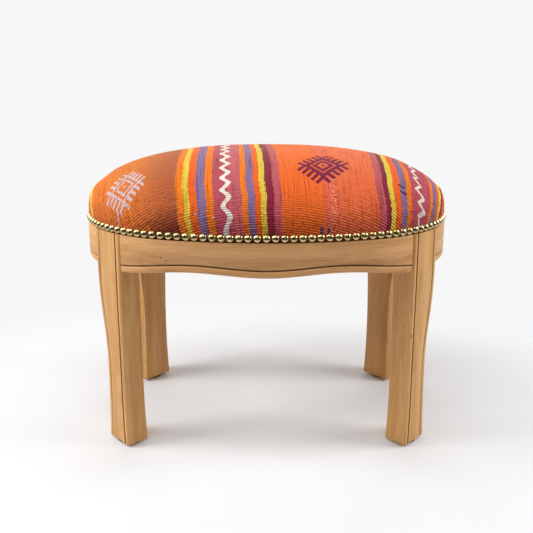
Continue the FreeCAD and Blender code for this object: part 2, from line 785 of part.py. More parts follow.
for row, side in enumerate(LONG_STRAPS):
    over = [along for column, along in enumerate(CROSS_STRAPS) if (row + column) % 2]
    feature(f"webbing_long_{row + 1}", strap(HALF_LENGTH, over, side, True))
for column, along in enumerate(CROSS_STRAPS):
    over = [side for row, side in enumerate(LONG_STRAPS) if (row + column) % 2 == 0]
    feature(f"webbing_cross_{column + 1}", strap(HALF_DEPTH, over, along, False))

# Soft layers: hessian, stuffing, wadding and cover, each inside the next

HESSIAN_LOW = STRAP_LOW + STRAP_LIFT + size("webbing_thickness") + LAYER_GAP
HESSIAN_TOP = HESSIAN_LOW + size("hessian_thickness")


def dome(inset, crown, low):
    """A crowned solid: upright below the frame's top, and above it drawn in as a superellipse."""
    power = 2 / size("crown_power")
    top_share = math.sin(DOME_LAST_ANGLE) ** power
    sections = []
    for step in range(DOME_STEPS):
        angle = DOME_LAST_ANGLE * step / (DOME_STEPS - 1)
        rise = crown * math.sin(angle) ** power / top_share
        sections.append(oval_wire(inset, FRAME_TOP + rise, math.cos(angle) ** power))
    crowned = Part.makeLoft(sections, True)
    if low >= FRAME_TOP:
        return crowned.common(oval_prism(-OVERCUT, low, FRAME_TOP + 2 * crown))
    return crowned.fuse(oval_prism(inset, low, FRAME_TOP))


CROWN = size("crown_height")
WADDING_INSET = COVER_INSET + size("cover_thickness") + size("cover_gap")
WADDING_CROWN = CROWN - size("cover_thickness") - size("cover_gap")
FOAM_INSET = WADDING_INSET + size("wadding_thickness") + size("cover_gap")
FOAM_CROWN = WADDING_CROWN - size("wadding_thickness") - size("cover_gap")

feature("hessian", oval_prism(size("webbing_inset"), HESSIAN_LOW, HESSIAN_TOP))
feature("foam_pad", dome(FOAM_INSET, FOAM_CROWN, HESSIAN_TOP + LAYER_GAP))

wadding_hollow = dome(WADDING_INSET + size("wadding_thickness"), WADDING_CROWN - size("wadding_thickness"),
                      FRAME_TOP - OVERCUT)
feature("wadding", dome(WADDING_INSET, WADDING_CROWN, FRAME_TOP + LAYER_GAP).cut(wadding_hollow))

cover_hollow = dome(COVER_INSET + size("cover_thickness"), CROWN - size("cover_thickness"), LEDGE - OVERCUT)
cover = dome(COVER_INSET, CROWN, LEDGE + LAYER_GAP).cut(cover_hollow)
feature("kilim_cover", pierced(cover, nail_bores))

# Groups of fasteners

for name, master, places in (
    ("cover_nails", nail, nail_places),
    ("rail_dowels", dowel, dowel_places),
    ("block_rail_screws", rail_screw, rail_screw_places),
    ("block_leg_screws", leg_screw, leg_screw_places),
    ("webbing_tacks", tack, tack_places),
):
    feature(name, Part.makeCompound(copies(master, places)))
doc.recompute()

# Every object is sound before anything is written

NODES = ["front_rail", "rear_rail", "left_rail", "right_rail", "hessian", "foam_pad", "wadding", "kilim_cover",
         "cover_nails", "rail_dowels", "block_rail_screws", "block_leg_screws", "webbing_tacks"]
NODES += [f"{kind}_{name}" for kind in ("leg", "glide", "corner_block") for name in LEGS]
NODES += [f"webbing_long_{row + 1}" for row in range(len(LONG_STRAPS))]
NODES += [f"webbing_cross_{column + 1}" for column in range(len(CROSS_STRAPS))]

for item in doc.Objects:
    if "Invalid" in item.State or "Error" in item.State:
        raise RuntimeError(f"{item.Name} did not build: {item.State}")
pieces = {item.Label: item for item in doc.Objects}
for node in NODES:
    shape = pieces[node].Shape
    if shape.isNull() or not shape.isValid() or not shape.Solids:
        raise RuntimeError(f"{node} is not a sound solid")

os.makedirs("parts", exist_ok=True)
for node in NODES:
    shape = pieces[node].Shape
    shape.exportStep(f"parts/{node}.step")
    print(f"{node}: {len(shape.Solids)} solids, {shape.Volume / 1000:.1f} cm3")
print(f"{len(NODES)} nodes, {len(nail_places)} nails, end radius {END_RADIUS:.1f} mm")
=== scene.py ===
# %% [markdown]
# # Kilim bench
#
# A low oval bench: four waisted beech legs carry a bowed beech frame, and its domed seat is covered with a
# piece of old striped kilim, held by a close row of brass nails. The measured parts come from the packed
# model as they are. This script gives them their finishes, and makes the soft pieces again as cloth, straps
# and stuffing, because a plain solid can't show how they are woven or filled.

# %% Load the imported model
import math

import bpy
import numpy as np
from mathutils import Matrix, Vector


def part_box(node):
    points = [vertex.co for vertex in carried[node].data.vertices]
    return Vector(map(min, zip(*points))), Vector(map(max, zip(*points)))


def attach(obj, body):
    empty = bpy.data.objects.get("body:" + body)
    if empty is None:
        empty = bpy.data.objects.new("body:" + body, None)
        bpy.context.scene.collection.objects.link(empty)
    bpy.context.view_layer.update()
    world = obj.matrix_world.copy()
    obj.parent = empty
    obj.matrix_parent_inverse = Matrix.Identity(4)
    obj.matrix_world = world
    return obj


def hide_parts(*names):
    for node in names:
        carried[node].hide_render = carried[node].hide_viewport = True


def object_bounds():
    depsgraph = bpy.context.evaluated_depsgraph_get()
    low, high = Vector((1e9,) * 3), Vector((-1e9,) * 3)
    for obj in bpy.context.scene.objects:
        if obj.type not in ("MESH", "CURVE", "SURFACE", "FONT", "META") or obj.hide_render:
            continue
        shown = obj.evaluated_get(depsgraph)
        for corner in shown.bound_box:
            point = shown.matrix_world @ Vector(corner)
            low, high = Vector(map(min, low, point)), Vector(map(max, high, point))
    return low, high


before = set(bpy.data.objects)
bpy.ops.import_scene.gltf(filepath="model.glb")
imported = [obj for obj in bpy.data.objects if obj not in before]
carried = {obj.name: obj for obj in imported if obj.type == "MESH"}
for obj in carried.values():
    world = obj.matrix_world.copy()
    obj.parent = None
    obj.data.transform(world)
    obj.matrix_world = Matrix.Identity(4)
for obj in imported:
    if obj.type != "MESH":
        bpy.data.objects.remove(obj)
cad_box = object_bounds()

MM = 0.001
scene = bpy.context.scene
over_all = [round((high - low) / MM, 1) for low, high in zip(*cad_box)]
print(len(carried), "nodes,", over_all, "mm over all")

# %% [markdown]
# ## Camera
#
# The photograph looks a little down on the bench from about a metre away. A camera could simply be tilted
# until the bench fills its frame, but then the legs would lean. The frame is shifted down instead, as in a
# studio camera, so that the legs stay nearly upright.

# %% Camera
SENSOR_WIDTH = 36.0
FOCAL_LENGTH = 46.6
FRAME_SHIFT = -0.0982
CAMERA_PLACE = (0.0, -1.0851, 0.5536)
CAMERA_PITCH = math.radians(78.28)
BENCH_MIDDLE = (0.0, 0.0, 0.25)
lens = bpy.data.cameras.new("camera")
lens.sensor_width = SENSOR_WIDTH
lens.lens = FOCAL_LENGTH
lens.shift_y = FRAME_SHIFT
camera = bpy.data.objects.new("camera", lens)
camera.location = CAMERA_PLACE
camera.rotation_euler = (CAMERA_PITCH, 0, 0)
scene.collection.objects.link(camera)
scene.camera = camera
scene.view_settings.view_transform = "Standard"
print("camera", round(math.dist(CAMERA_PLACE, BENCH_MIDDLE), 2), "m from the middle of the bench")

# %% [markdown]
# ## Colours and shader nodes
#
# Colours are written as the sRGB codes that a paint program shows. Blender works in linear light, so one
# function turns them. Another adds any shader node: what goes into it is a number, a colour or the output of
# a node made before, so a material reads from top to bottom like a sum.

# %% Colours
def linear(code):
    """The linear colour of an sRGB hex code such as "D2A470"."""
    shares = [int(code[place:place + 2], 16) / 255 for place in (0, 2, 4)]
    return [s / 12.92 if s <= 0.04045 else ((s + 0.055) / 1.055) ** 2.4 for s in shares] + [1.0]


print("the grey 808080 is", round(linear("808080")[0], 3), "in linear light")

# %% Shader nodes
def add(tree, kind, *values, sockets=None, out=0, stops=(), stepped=False, **settings):
    """Adds a shader node with its settings and links, and returns one of its outputs.

    The values go into its first sockets in order, and the dictionary fills sockets by their name or number.
    The stops of a colour ramp are places from 0 to 1, each with a hex colour.
    """
    made = tree.nodes.new("ShaderNode" + kind)
    for name, setting in settings.items():
        setattr(made, name, setting)
    for socket, value in {**dict(enumerate(values)), **(sockets or {})}.items():
        if isinstance(value, bpy.types.NodeSocket):
            tree.links.new(value, made.inputs[socket])
        else:
            made.inputs[socket].default_value = value
    if stops:
        made.color_ramp.interpolation = "CONSTANT" if stepped else "LINEAR"
        for _ in stops[2:]:
            made.color_ramp.elements.new(1.0)
        for element, (position, code) in zip(made.color_ramp.elements, stops):
            element.position = position
            element.color = linear(code)
    return made.outputs[out]


# A Mix node that is set to colours lays one over the other by a factor, through these of its sockets
FACTOR, UNDER, OVER = 0, 6, 7
COLOURS = {"data_type": "RGBA", "out": 2}

# %% New materials
def new_material(name, **inputs):
    """A material with one Principled shader, whose constant inputs are set on its own sockets."""
    material = bpy.data.materials.new(name)
    material.use_nodes = True
    surface = material.node_tree.nodes["Principled BSDF"]
    for key, value in inputs.items():
        surface.inputs[key.replace("_", " ")].default_value = value
    return material, material.node_tree, surface


# %% [markdown]
# ## Studio
#
# The bench stands on white paper that has no edge in sight. In a studio that is a sheet which bends up
# behind the bench. Here the flat floor fades away some distance from it, and the world behind shows one pale
# colour, so no bend spoils the views from other sides. Light as strong as that colour would wash out the
# bench, so only the camera and the reflections see it.

# %% Paper floor
def stage_piece(name, points, faces, material):
    """A piece of the studio, which isn't part of the bench."""
    mesh = bpy.data.meshes.new(name)
    mesh.from_pydata(points, [], faces)
    mesh.materials.append(material)
    piece = bpy.data.objects.new(name, mesh)
    scene.collection.objects.link(piece)
    return piece


FLOOR_HALF = 3.0
FADE_FROM, FADE_TO = 0.34, 0.76
FADE_SQUASH, FADE_SHIFT = (0.8, 1.0, 0.0), (0.0, 0.12, 0.0)
# Uncoated paper is matt: it shows the shadow of the bench and no reflection
paper, tree, surface = new_material("backdrop paper", Roughness=0.9, Specular_IOR_Level=0.1,
                                    Base_Color=linear("E1E2E4"))
place = add(tree, "TexCoord", out="Object")
spread = add(tree, "VectorMath", place, FADE_SQUASH, FADE_SHIFT, operation="MULTIPLY_ADD")
distance = add(tree, "VectorMath", spread, operation="LENGTH", out="Value")
clear = add(tree, "MapRange", distance, FADE_FROM, FADE_TO, interpolation_type="SMOOTHERSTEP")
path = add(tree, "LightPath").node.outputs
seen = add(tree, "Math", path["Is Camera Ray"], path["Is Glossy Ray"], operation="MAXIMUM")
clear = add(tree, "Math", clear, seen, operation="MULTIPLY")
through = add(tree, "BsdfTransparent")
faded = add(tree, "MixShader", clear, surface.outputs[0], through)
tree.links.new(faded, tree.nodes["Material Output"].inputs["Surface"])
floor_corners = [(FLOOR_HALF * x, FLOOR_HALF * y, 0) for x, y in ((-1, -1), (1, -1), (1, 1), (-1, 1))]
stage_piece("floor", floor_corners, [range(4)], paper)
print("floor", 2 * FLOOR_HALF, "m wide, clear from", FADE_TO, "m on")

# %% [markdown]
# ## Dark tent
#
# Polished nails mirror what is round them, and with nothing but white they would look like plastic beads.
# A dark curtain round the bench, raised at the back, gives the brass its brown rims. Only reflections see
# it, so it takes no light from the wood and the wool.

# %% Dark tent
TENT_RADIUS = 2.4
FRONT_LOW, BACK_LOW = -60.0, 40.0
BACK_FROM = 0.1
TENT_TURNS, TENT_ROWS = 48, 6
tent_points = []
for row in range(TENT_ROWS + 1):
    for turn in np.linspace(0, 2 * math.pi, TENT_TURNS, endpoint=False):
        lowest = BACK_LOW if math.sin(turn) > BACK_FROM else FRONT_LOW
        rise = math.radians(lowest + (90 - lowest) * row / TENT_ROWS)
        flat = TENT_RADIUS * math.cos(rise)
        tent_points.append((flat * math.cos(turn), flat * math.sin(turn), TENT_RADIUS * math.sin(rise)))
tent_faces = []
for row in range(TENT_ROWS):
    low, high = row * TENT_TURNS, (row + 1) * TENT_TURNS
    for turn in range(TENT_TURNS):
        after = (turn + 1) % TENT_TURNS
        tent_faces.append((low + turn, low + after, high + after, high + turn))
# Heavy curtain cloth swallows light, so it mirrors as one dark brown
curtain_cloth = new_material("dark curtain", Roughness=0.9, Base_Color=linear("4A4642"))[0]
curtain = stage_piece("dark_studio_tent", tent_points, tent_faces, curtain_cloth)
curtain.visible_camera = False
curtain.visible_diffuse = False
curtain.visible_shadow = False
print("tent of", len(tent_faces), "faces")

# %% [markdown]
# ## Light
#
# The light is soft and comes from both sides, a little stronger from the left. One large lamp overhead would
# leave the legs flat, so there are four soft boxes: left and right shape the legs, the front one lights the
# crown, and the rear one the back. The world adds a faint light, weaker from the front, so that the faces
# of the legs that turn inwards stay darker.

# %% World
AMBIENT_FRONT, AMBIENT_BACK = 0.08, 0.38
AMBIENT_RISE = (-0.8, 0.0)
world = bpy.data.worlds.new("studio")
scene.world = world
world.use_nodes = True
tree = world.node_tree
path = add(tree, "LightPath").node.outputs
seen = add(tree, "Math", path["Is Camera Ray"], path["Is Glossy Ray"], operation="ADD")
seen = add(tree, "Math", seen, path["Is Transmission Ray"], operation="ADD", use_clamp=True)
direction = add(tree, "TexCoord", out="Generated")
to_back = add(tree, "SeparateXYZ", direction, out="Y")
strength = add(tree, "MapRange", to_back, *AMBIENT_RISE, AMBIENT_FRONT, AMBIENT_BACK)
ambient = add(tree, "Background", linear("FFFFFF"), strength)
pale = add(tree, "Background", linear("F7F7F7"), 1.0)
both = add(tree, "MixShader", seen, ambient, pale)
tree.links.new(both, tree.nodes["World Output"].inputs["Surface"])
print("ambient light", AMBIENT_FRONT, "from the front and", AMBIENT_BACK, "from the back")

# %% Soft boxes
SOFT_BOXES = {
    "left_soft_box": ((-1.6, -0.25, 1.2), (0.8, 0.8), 25.6),
    "right_soft_box": ((1.6, -0.15, 1.15), (0.8, 0.8), 19.2),
    "front_soft_box": ((-0.35, -0.85, 1.85), (1.7, 0.9), 13.8),
    "rear_soft_box": ((0.0, 1.9, 0.7), (2.8, 1.0), 25.0),
}
for name, (location, size, power) in SOFT_BOXES.items():
    light = bpy.data.lights.new(name, "AREA")
    light.shape = "RECTANGLE"
    light.size, light.size_y = size
    light.energy = power
    lamp = bpy.data.objects.new(name, light)
    lamp.location = location
    lamp.rotation_euler = (Vector(BENCH_MIDDLE) - Vector(location)).to_track_quat("-Z", "Y").to_euler()
    scene.collection.objects.link(lamp)
    print(name, power, "W")

# %% [markdown]
# ## Beech
#
# Legs and rails are beech, planed, sanded and waxed. The grain runs along each piece: a soft figure some
# millimetres wide, fine fibres, and the short dark flecks that tell beech from other pale woods. A picture
# of wood could be wrapped round each piece. Noise that is stretched along the grain is used instead, because
# it goes right through the wood, and so it also meets at the edges.

# %% Waxed beech
FIGURE, FIBRE, FLECK = (260 * MM, 14 * MM), (50 * MM, 1.4 * MM), (8 * MM, 0.7 * MM)
THROUGH_SHARE = 0.2
FIBRE_DEPTH = 0.2 * MM
GROOVE_REACH = 4 * MM
# The groove brown is painted shade, laid where the grooves are deep
FLECK_BROWN, KNOT_BROWN, GROOVE_SHADE_BROWN = "8F6238", "4A2F1C", "5A3A1E"


def beech(name, along, colours, knots=(), through=None):
    """Wood whose grain runs along an axis (0 X, 1 Y, 2 Z), with knots as x, y, z and size in mm.

    Colours are light, middle and dark. Through is the axis in which the figure changes slowly, as in a
    bowed rail that is sawn from a thick board.
    """
    # Wax leaves a low, soft shine on the fibres, and painted shade darkens it in the grooves
    material, tree, surface = new_material(name, Roughness=0.5, Specular_IOR_Level=0.4)
    place = add(tree, "TexCoord", out="Object")

    def stretched(size, shift):
        """Noise whose spots have a length along the grain and a width across it."""
        length, width = size
        scale = [1 / width] * 3
        scale[along] = 1 / length
        if through is not None:
            scale[through] = THROUGH_SHARE / width
        spread = add(tree, "Mapping", place, sockets={"Scale": scale, "Location": (shift, shift, shift)})
        return add(tree, "TexNoise", spread,
                   sockets={"Scale": 1.0, "Detail": 3.0, "Roughness": 0.55, "Distortion": 0.3})

    figure, fibres, flecks = stretched(FIGURE, 3.1), stretched(FIBRE, 7.7), stretched(FLECK, 11.3)
    fine = add(tree, "Math", fibres, 0.4, operation="MULTIPLY")
    grain = add(tree, "Math", figure, 0.6, fine, operation="MULTIPLY_ADD")
    light, middle, dark = colours
    colour = add(tree, "ValToRGB", grain, stops=[(0.34, dark), (0.5, middle), (0.66, light)])
    flecked = add(tree, "MapRange", flecks, 0.62, 0.72, 0.0, 0.5)
    colour = add(tree, "Mix", sockets={FACTOR: flecked, UNDER: colour, OVER: linear(FLECK_BROWN)}, **COLOURS)
    for *spot, size in knots:
        apart = add(tree, "VectorMath", place, [c * MM for c in spot], operation="DISTANCE", out="Value")
        inside = add(tree, "MapRange", apart, size * MM, size * MM / 3, 0.0, 0.85)
        colour = add(tree, "Mix", sockets={FACTOR: inside, UNDER: colour, OVER: linear(KNOT_BROWN)},
                     **COLOURS)
    # Painted shade: where ambient occlusion finds a groove, the wood is darkened towards a brown
    open_share = add(tree, "AmbientOcclusion", sockets={"Distance": GROOVE_REACH}, out="AO", samples=8,
                     only_local=True)
    groove_shade = add(tree, "MapRange", open_share, 0.8, 0.45, 0.0, 0.8)
    colour = add(tree, "Mix", sockets={FACTOR: groove_shade, UNDER: colour, OVER: linear(GROOVE_SHADE_BROWN)}, **COLOURS)
    tree.links.new(colour, surface.inputs["Base Color"])
    relief = add(tree, "Bump", sockets={"Height": fibres, "Distance": FIBRE_DEPTH, "Strength": 0.25})
    tree.links.new(relief, surface.inputs["Normal"])
    return material


# %% Beech along each axis
BEECH = ("DBA96B", "CE995B", "B78147")
RAIL_BEECH = ("E0AB72", "D19A61", "B87F4A")
RAIL_KNOTS = [(-143.4, -179.1, 304.8, 1.7), (-136.4, -181.1, 301.1, 1.5)]
LEG_KNOTS = [(209.5, -143, 178, 2.4), (190.7, -134.7, 264.4, 1.4)]
rail_beech = beech("waxed beech, rails", 0, RAIL_BEECH, RAIL_KNOTS, through=1)
end_beech = beech("waxed beech, end rails", 1, BEECH, through=0)
leg_beech = beech("waxed beech, legs", 2, BEECH, LEG_KNOTS)
print("beech with", len(RAIL_KNOTS) + len(LEG_KNOTS), "knots")

# %% [markdown]
# ## Rails and legs
#
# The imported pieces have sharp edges, but sanded wood catches a thin line of light on each. A bevel modifier
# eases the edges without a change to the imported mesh. It works only on a closed surface, so the corners that
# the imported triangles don't share are welded first.

# %% Rails and legs
RAIL_EDGE, LEG_EDGE = 1.2 * MM, 1.0 * MM
WELD_REACH = 0.02 * MM
EDGE_ANGLE = math.radians(38)
CORNERS = ("front_left", "front_right", "rear_left", "rear_right")


def dress(node_name, material, edge=0.0):
    """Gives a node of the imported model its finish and, if asked, eased edges."""
    piece = carried[node_name]
    piece.data.materials.clear()
    piece.data.materials.append(material)
    if edge:
        weld = piece.modifiers.new("weld", "WELD")
        weld.merge_threshold = WELD_REACH
        bevel = piece.modifiers.new("eased edges", "BEVEL")
        bevel.width = edge
        bevel.segments = 2
        bevel.limit_method = "ANGLE"
        bevel.angle_limit = EDGE_ANGLE
        bevel.harden_normals = True


for name in ("front_rail", "rear_rail"):
    dress(name, rail_beech, RAIL_EDGE)
for name in ("left_rail", "right_rail"):
    dress(name, end_beech, RAIL_EDGE)
for corner in CORNERS:
    dress(f"leg_{corner}", leg_beech, LEG_EDGE)
print("waxed beech on four rails and", len(CORNERS), "legs")

# %% [markdown]
# ## Brass nails
#
# The nails are pressed from thin brass and darkened, then rubbed bright again at the crown. All of that
# could be painted, but the round heads do it by themselves: they mirror the soft boxes at the crown and the
# dark tent round the rim. The material adds only the cloudiness of old lacquer.

# %% Antiqued brass
BRASS_CLOUD = 8.33 * MM
# Lacquered brass keeps a warm mirror that is sharper in some places than in others
brass, tree, surface = new_material("antiqued brass", Metallic=1.0)
place = add(tree, "TexCoord", out="Object")
cloudy = add(tree, "TexNoise", place, sockets={"Scale": 1 / BRASS_CLOUD, "Detail": 2.0})
colour = add(tree, "ValToRGB", cloudy, stops=[(0.35, "BFAB74"), (0.6, "D9C892")])
tree.links.new(colour, surface.inputs["Base Color"])
dull = add(tree, "MapRange", cloudy, 0.0, 1.0, 0.2, 0.3)
tree.links.new(dull, surface.inputs["Roughness"])
dress("cover_nails", brass)
print("brass on the cover nails")

# %% [markdown]
# ## Screws, tacks and glides
#
# Screws and tacks are drawn steel wire, bright and a little cloudy from handling. The glides under the feet
# are moulded plastic. Both are small and half hidden, so a metal and a dark plastic with a little noise are
# enough.

# %% Bright steel
STEEL_CLOUD = 3.33 * MM
# Zinc on drawn steel gives a grey mirror, blurred by fine scratches
steel, tree, surface = new_material("bright steel", Metallic=1.0, Roughness=0.32)
place = add(tree, "TexCoord", out="Object")
cloudy = add(tree, "TexNoise", place, sockets={"Scale": 1 / STEEL_CLOUD, "Detail": 2.0})
colour = add(tree, "ValToRGB", cloudy, stops=[(0.3, "8E8E90"), (0.7, "B4B4B6")])
tree.links.new(colour, surface.inputs["Base Color"])
STEEL_PIECES = ("block_rail_screws", "block_leg_screws", "webbing_tacks")
for name in STEEL_PIECES:
    dress(name, steel)
print("steel on", ", ".join(STEEL_PIECES))

# %% Moulded plastic
GLIDE_GRAIN = 1.11 * MM
# A mould's grain is about 0.1 mm and breaks up the shine; it is drawn at 1.1 mm here so that it shows
moulded, tree, surface = new_material("moulded glide plastic", Roughness=0.55)
place = add(tree, "TexCoord", out="Object")
grainy = add(tree, "TexNoise", place, sockets={"Scale": 1 / GLIDE_GRAIN, "Detail": 2.0})
colour = add(tree, "ValToRGB", grainy, stops=[(0.3, "241D19"), (0.7, "3A302A")])
tree.links.new(colour, surface.inputs["Base Color"])
for corner in CORNERS:
    dress(f"glide_{corner}", moulded)
print("plastic on", len(CORNERS), "glides")

# %% [markdown]
# ## Hidden wood
#
# The blocks in the corners are sawn from plain pine, and the dowels are turned from beech. Both are woods
# with a straight grain, so the beech function draws them too, with paler colours for the pine.

# %% Pine blocks and beech dowels
PINE = ("E6CB9A", "DCBC86", "C79F63")
BLOCK_EDGE = 0.8 * MM
pine = beech("planed pine, corner blocks", 0, PINE)
for corner in CORNERS:
    dress(f"corner_block_{corner}", pine, BLOCK_EDGE)
dress("rail_dowels", beech("turned beech, dowels", 0, BEECH))
print("pine on", len(CORNERS), "corner blocks, beech on the dowels")

# %% [markdown]
# ## The shape of the seat
#
# The seat's plan is an oval of four arcs, and from its edge the seat rises as a superellipse. All the layers
# share that shape, one inside the other. They could be scaled copies of one mesh, but cloth has to be placed
# by its own lengths: how far from the crown a point is along the surface, and in which direction. So the
# dome is a small class that answers in those terms.

# %% Oval plan
FRAME_TOP = 345 * MM
FRONT_RADIUS = 515 * MM
HALF_LENGTH = 280 * MM
HALF_DEPTH = 199.5 * MM
FRONT_CENTRE = FRONT_RADIUS - HALF_DEPTH
RADIUS_LEFT = FRONT_RADIUS - HALF_LENGTH
END_CENTRE = (FRONT_CENTRE ** 2 - RADIUS_LEFT ** 2) / (2 * RADIUS_LEFT)
END_RADIUS = HALF_LENGTH - END_CENTRE
ARC_MEETING = math.atan2(END_CENTRE, FRONT_CENTRE)


def oval_radius(angle, inset):
    """How far the inset oval lies from the middle of the bench in a direction."""
    along, across = np.abs(np.cos(angle)), np.abs(np.sin(angle))
    end, front = END_RADIUS - inset, FRONT_RADIUS - inset
    beside_end = np.maximum((END_CENTRE * along) ** 2 - END_CENTRE ** 2 + end ** 2, 0)
    beside_front = (FRONT_CENTRE * across) ** 2 - FRONT_CENTRE ** 2 + front ** 2
    to_end = END_CENTRE * along + np.sqrt(beside_end)
    to_front = np.sqrt(beside_front) - FRONT_CENTRE * across
    meeting = math.atan2(end * math.cos(ARC_MEETING), END_CENTRE + end * math.sin(ARC_MEETING))
    return np.where(np.arctan2(across, along) < meeting, to_end, to_front)


print("end arcs of", round(END_RADIUS / MM, 1), "mm, front arcs of", round(FRONT_RADIUS / MM), "mm")

# %% Section of the dome
CROWN_POWER = 2 / 2.55
LAST_ANGLE = math.radians(80)
ARC_STEPS, CROWN_STEPS, WALL_STEPS = 150, 11, 7


def section(crown, low):
    """The seat from its crown to its lower edge, as shares of the plan radius and as heights."""
    angle = np.linspace(LAST_ANGLE, 0, ARC_STEPS)
    share = np.cos(angle) ** CROWN_POWER
    height = FRAME_TOP + crown * (np.sin(angle) / math.sin(LAST_ANGLE)) ** CROWN_POWER
    flat = np.linspace(0, share[0], CROWN_STEPS, endpoint=False)
    wall = np.linspace(FRAME_TOP, low, WALL_STEPS + 1)[1:] if low < FRAME_TOP else np.zeros(0)
    share = np.concatenate([flat, share, np.ones(len(wall))])
    height = np.concatenate([np.full(len(flat), height[0]), height, wall])
    if low > FRAME_TOP:
        keep = height >= low
        edge = np.interp(-low, -height, share)
        share, height = np.append(share[keep], edge), np.append(height[keep], low)
    return share, height


print("section rises with the power", round(2 / CROWN_POWER, 2))

# %% Values between those of a table
def between(table, angle, part):
    """A table's values between its own angles, once round, and its own parts of the way down."""
    turns, steps = table.shape[0] - 1, table.shape[1] - 1
    a = (angle + math.pi) / (2 * math.pi) * turns
    p = np.clip(part, 0, 1) * steps
    i, j = np.minimum(a.astype(int), turns - 1), np.minimum(p.astype(int), steps - 1)
    single = (-1,) + (1,) * (table.ndim - 2)
    on_turn, on_step = (a - i).reshape(single), (p - j).reshape(single)
    near = table[i, j] * (1 - on_step) + table[i, j + 1] * on_step
    far = table[i + 1, j] * (1 - on_step) + table[i + 1, j + 1] * on_step
    return near * (1 - on_turn) + far * on_turn


# %% Dome
ANGLES = 720
REACHES = 240


class Dome:
    """A domed layer of the seat, measured along its surface from the crown."""

    def __init__(self, node_name):
        """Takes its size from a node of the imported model."""
        low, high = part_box(node_name)
        self.inset = HALF_LENGTH - float(high[0])
        share, height = section(float(high[2]) - FRAME_TOP, float(low[2]))
        self.angles = np.linspace(-math.pi, math.pi, ANGLES + 1)
        radii = oval_radius(self.angles, self.inset)
        steps = np.hypot(np.diff(share) * radii[:, None], np.diff(height))
        run = np.concatenate([np.zeros((ANGLES + 1, 1)), np.cumsum(steps, axis=1)], axis=1)
        self.full_run = run[:, -1]
        part = np.linspace(0, 1, REACHES + 1)
        self.share = np.array([np.interp(part * r[-1], r, share) for r in run])
        self.height = np.array([np.interp(part * r[-1], r, height) for r in run])

    def reach(self, angle):
        """The way from the crown to the lower edge in a direction."""
        return np.interp(angle, self.angles, self.full_run)

    def points(self, angle, part):
        """Points at a part of the way down in a direction."""
        radius = oval_radius(angle, self.inset) * between(self.share, angle, part)
        height = between(self.height, angle, part)
        return np.stack([radius * np.cos(angle), radius * np.sin(angle), height], -1)


cover_dome = Dome("kilim_cover")
print("cover runs", round(float(cover_dome.reach(0.0)) / MM, 1), "mm from its crown to its ends")

# %% Soft pieces
def new_piece(name, points, faces, material, replaced):
    """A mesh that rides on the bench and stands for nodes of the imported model."""
    mesh = bpy.data.meshes.new(name)
    mesh.from_pydata(points.tolist(), [], faces)
    mesh.shade_smooth()
    mesh.materials.append(material)
    piece = bpy.data.objects.new(name, mesh)
    scene.collection.objects.link(piece)
    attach(piece, "root")
    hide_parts(*replaced)
    return piece


def thicken(piece, thickness, offset):
    """Gives a sheet its thickness: on both sides with offset 0, and inwards with -1."""
    thick = piece.modifiers.new("thickness", "SOLIDIFY")
    thick.thickness = thickness
    thick.offset = offset


# %% Nets of rings
def ring_faces(rings, segments):
    """Faces of a net of rings round one first point."""
    faces = [(0, 1 + j, 1 + (j + 1) % segments) for j in range(segments)]
    for i in range(rings - 1):
        inner, outer = 1 + i * segments, 1 + (i + 1) * segments
        for j in range(segments):
            k = (j + 1) % segments
            faces.append((inner + j, outer + j, outer + k, inner + k))
    return faces


def ringed(dome, rings, segments):
    """Points of a dome on rings round its crown, the crown first."""
    angle = np.linspace(-math.pi, math.pi, segments, endpoint=False)
    part = np.arange(1, rings + 1) / rings
    net = dome.points(np.tile(angle, rings), np.repeat(part, segments))
    crown = dome.points(np.zeros(1), np.zeros(1))
    return np.concatenate([crown, net])


# %% [markdown]
# ## Jute webbing
#
# Eight straps of jute are woven through each other and tacked to the frame, to carry the seat. They lie flat
# and tight, so nothing would come of a cloth simulation: each strap is a strip of faces that is lifted where
# it crosses over another one. Jute is a coarse plain weave, over and under by turns, which two crossed sine
# waves give.

# %% Woven jute and hessian
FIBRE_FUZZ = 2.5 * MM
YARN_DEPTH = 0.6 * MM


def plain_weave(name, pitch, warp, weft, gap):
    """A plain weave of coarse yarn: over and under by turns, in steps of the pitch."""
    # Dry plant fibre has no shine, and the gaps between its yarns are darkened with painted shade
    material, tree, surface = new_material(name, Roughness=0.95, Specular_IOR_Level=0.1)
    place = add(tree, "TexCoord", out="Object")
    axes = add(tree, "SeparateXYZ", place).node.outputs
    crests = []
    for axis in (0, 1):
        turned = add(tree, "Math", axes[axis], math.pi / pitch, operation="MULTIPLY")
        crests.append(add(tree, "Math", turned, operation="SINE"))
    over = add(tree, "Math", *crests, operation="MULTIPLY")
    on_top = add(tree, "Math", over, 0.0, operation="GREATER_THAN")
    yarn = add(tree, "Mix", sockets={FACTOR: on_top, UNDER: linear(warp), OVER: linear(weft)}, **COLOURS)
    noise = add(tree, "TexNoise", place, sockets={"Scale": 1 / FIBRE_FUZZ, "Detail": 3.0})
    fuzzy = add(tree, "Math", noise, 0.5, operation="MULTIPLY")
    yarn = add(tree, "Mix", sockets={FACTOR: fuzzy, UNDER: yarn, OVER: linear(gap)}, **COLOURS)
    # Painted shade: the low places between the crossing yarns darken towards the gap colour
    crown = add(tree, "Math", over, operation="ABSOLUTE")
    hollow_shade = add(tree, "Math", 1.0, crown, operation="SUBTRACT")
    hollow_shade = add(tree, "Math", hollow_shade, 4.0, operation="POWER")
    colour = add(tree, "Mix", sockets={FACTOR: hollow_shade, UNDER: yarn, OVER: linear(gap)}, **COLOURS)
    tree.links.new(colour, surface.inputs["Base Color"])
    relief = add(tree, "Bump", sockets={"Height": crown, "Distance": YARN_DEPTH})
    tree.links.new(relief, surface.inputs["Normal"])
    return material


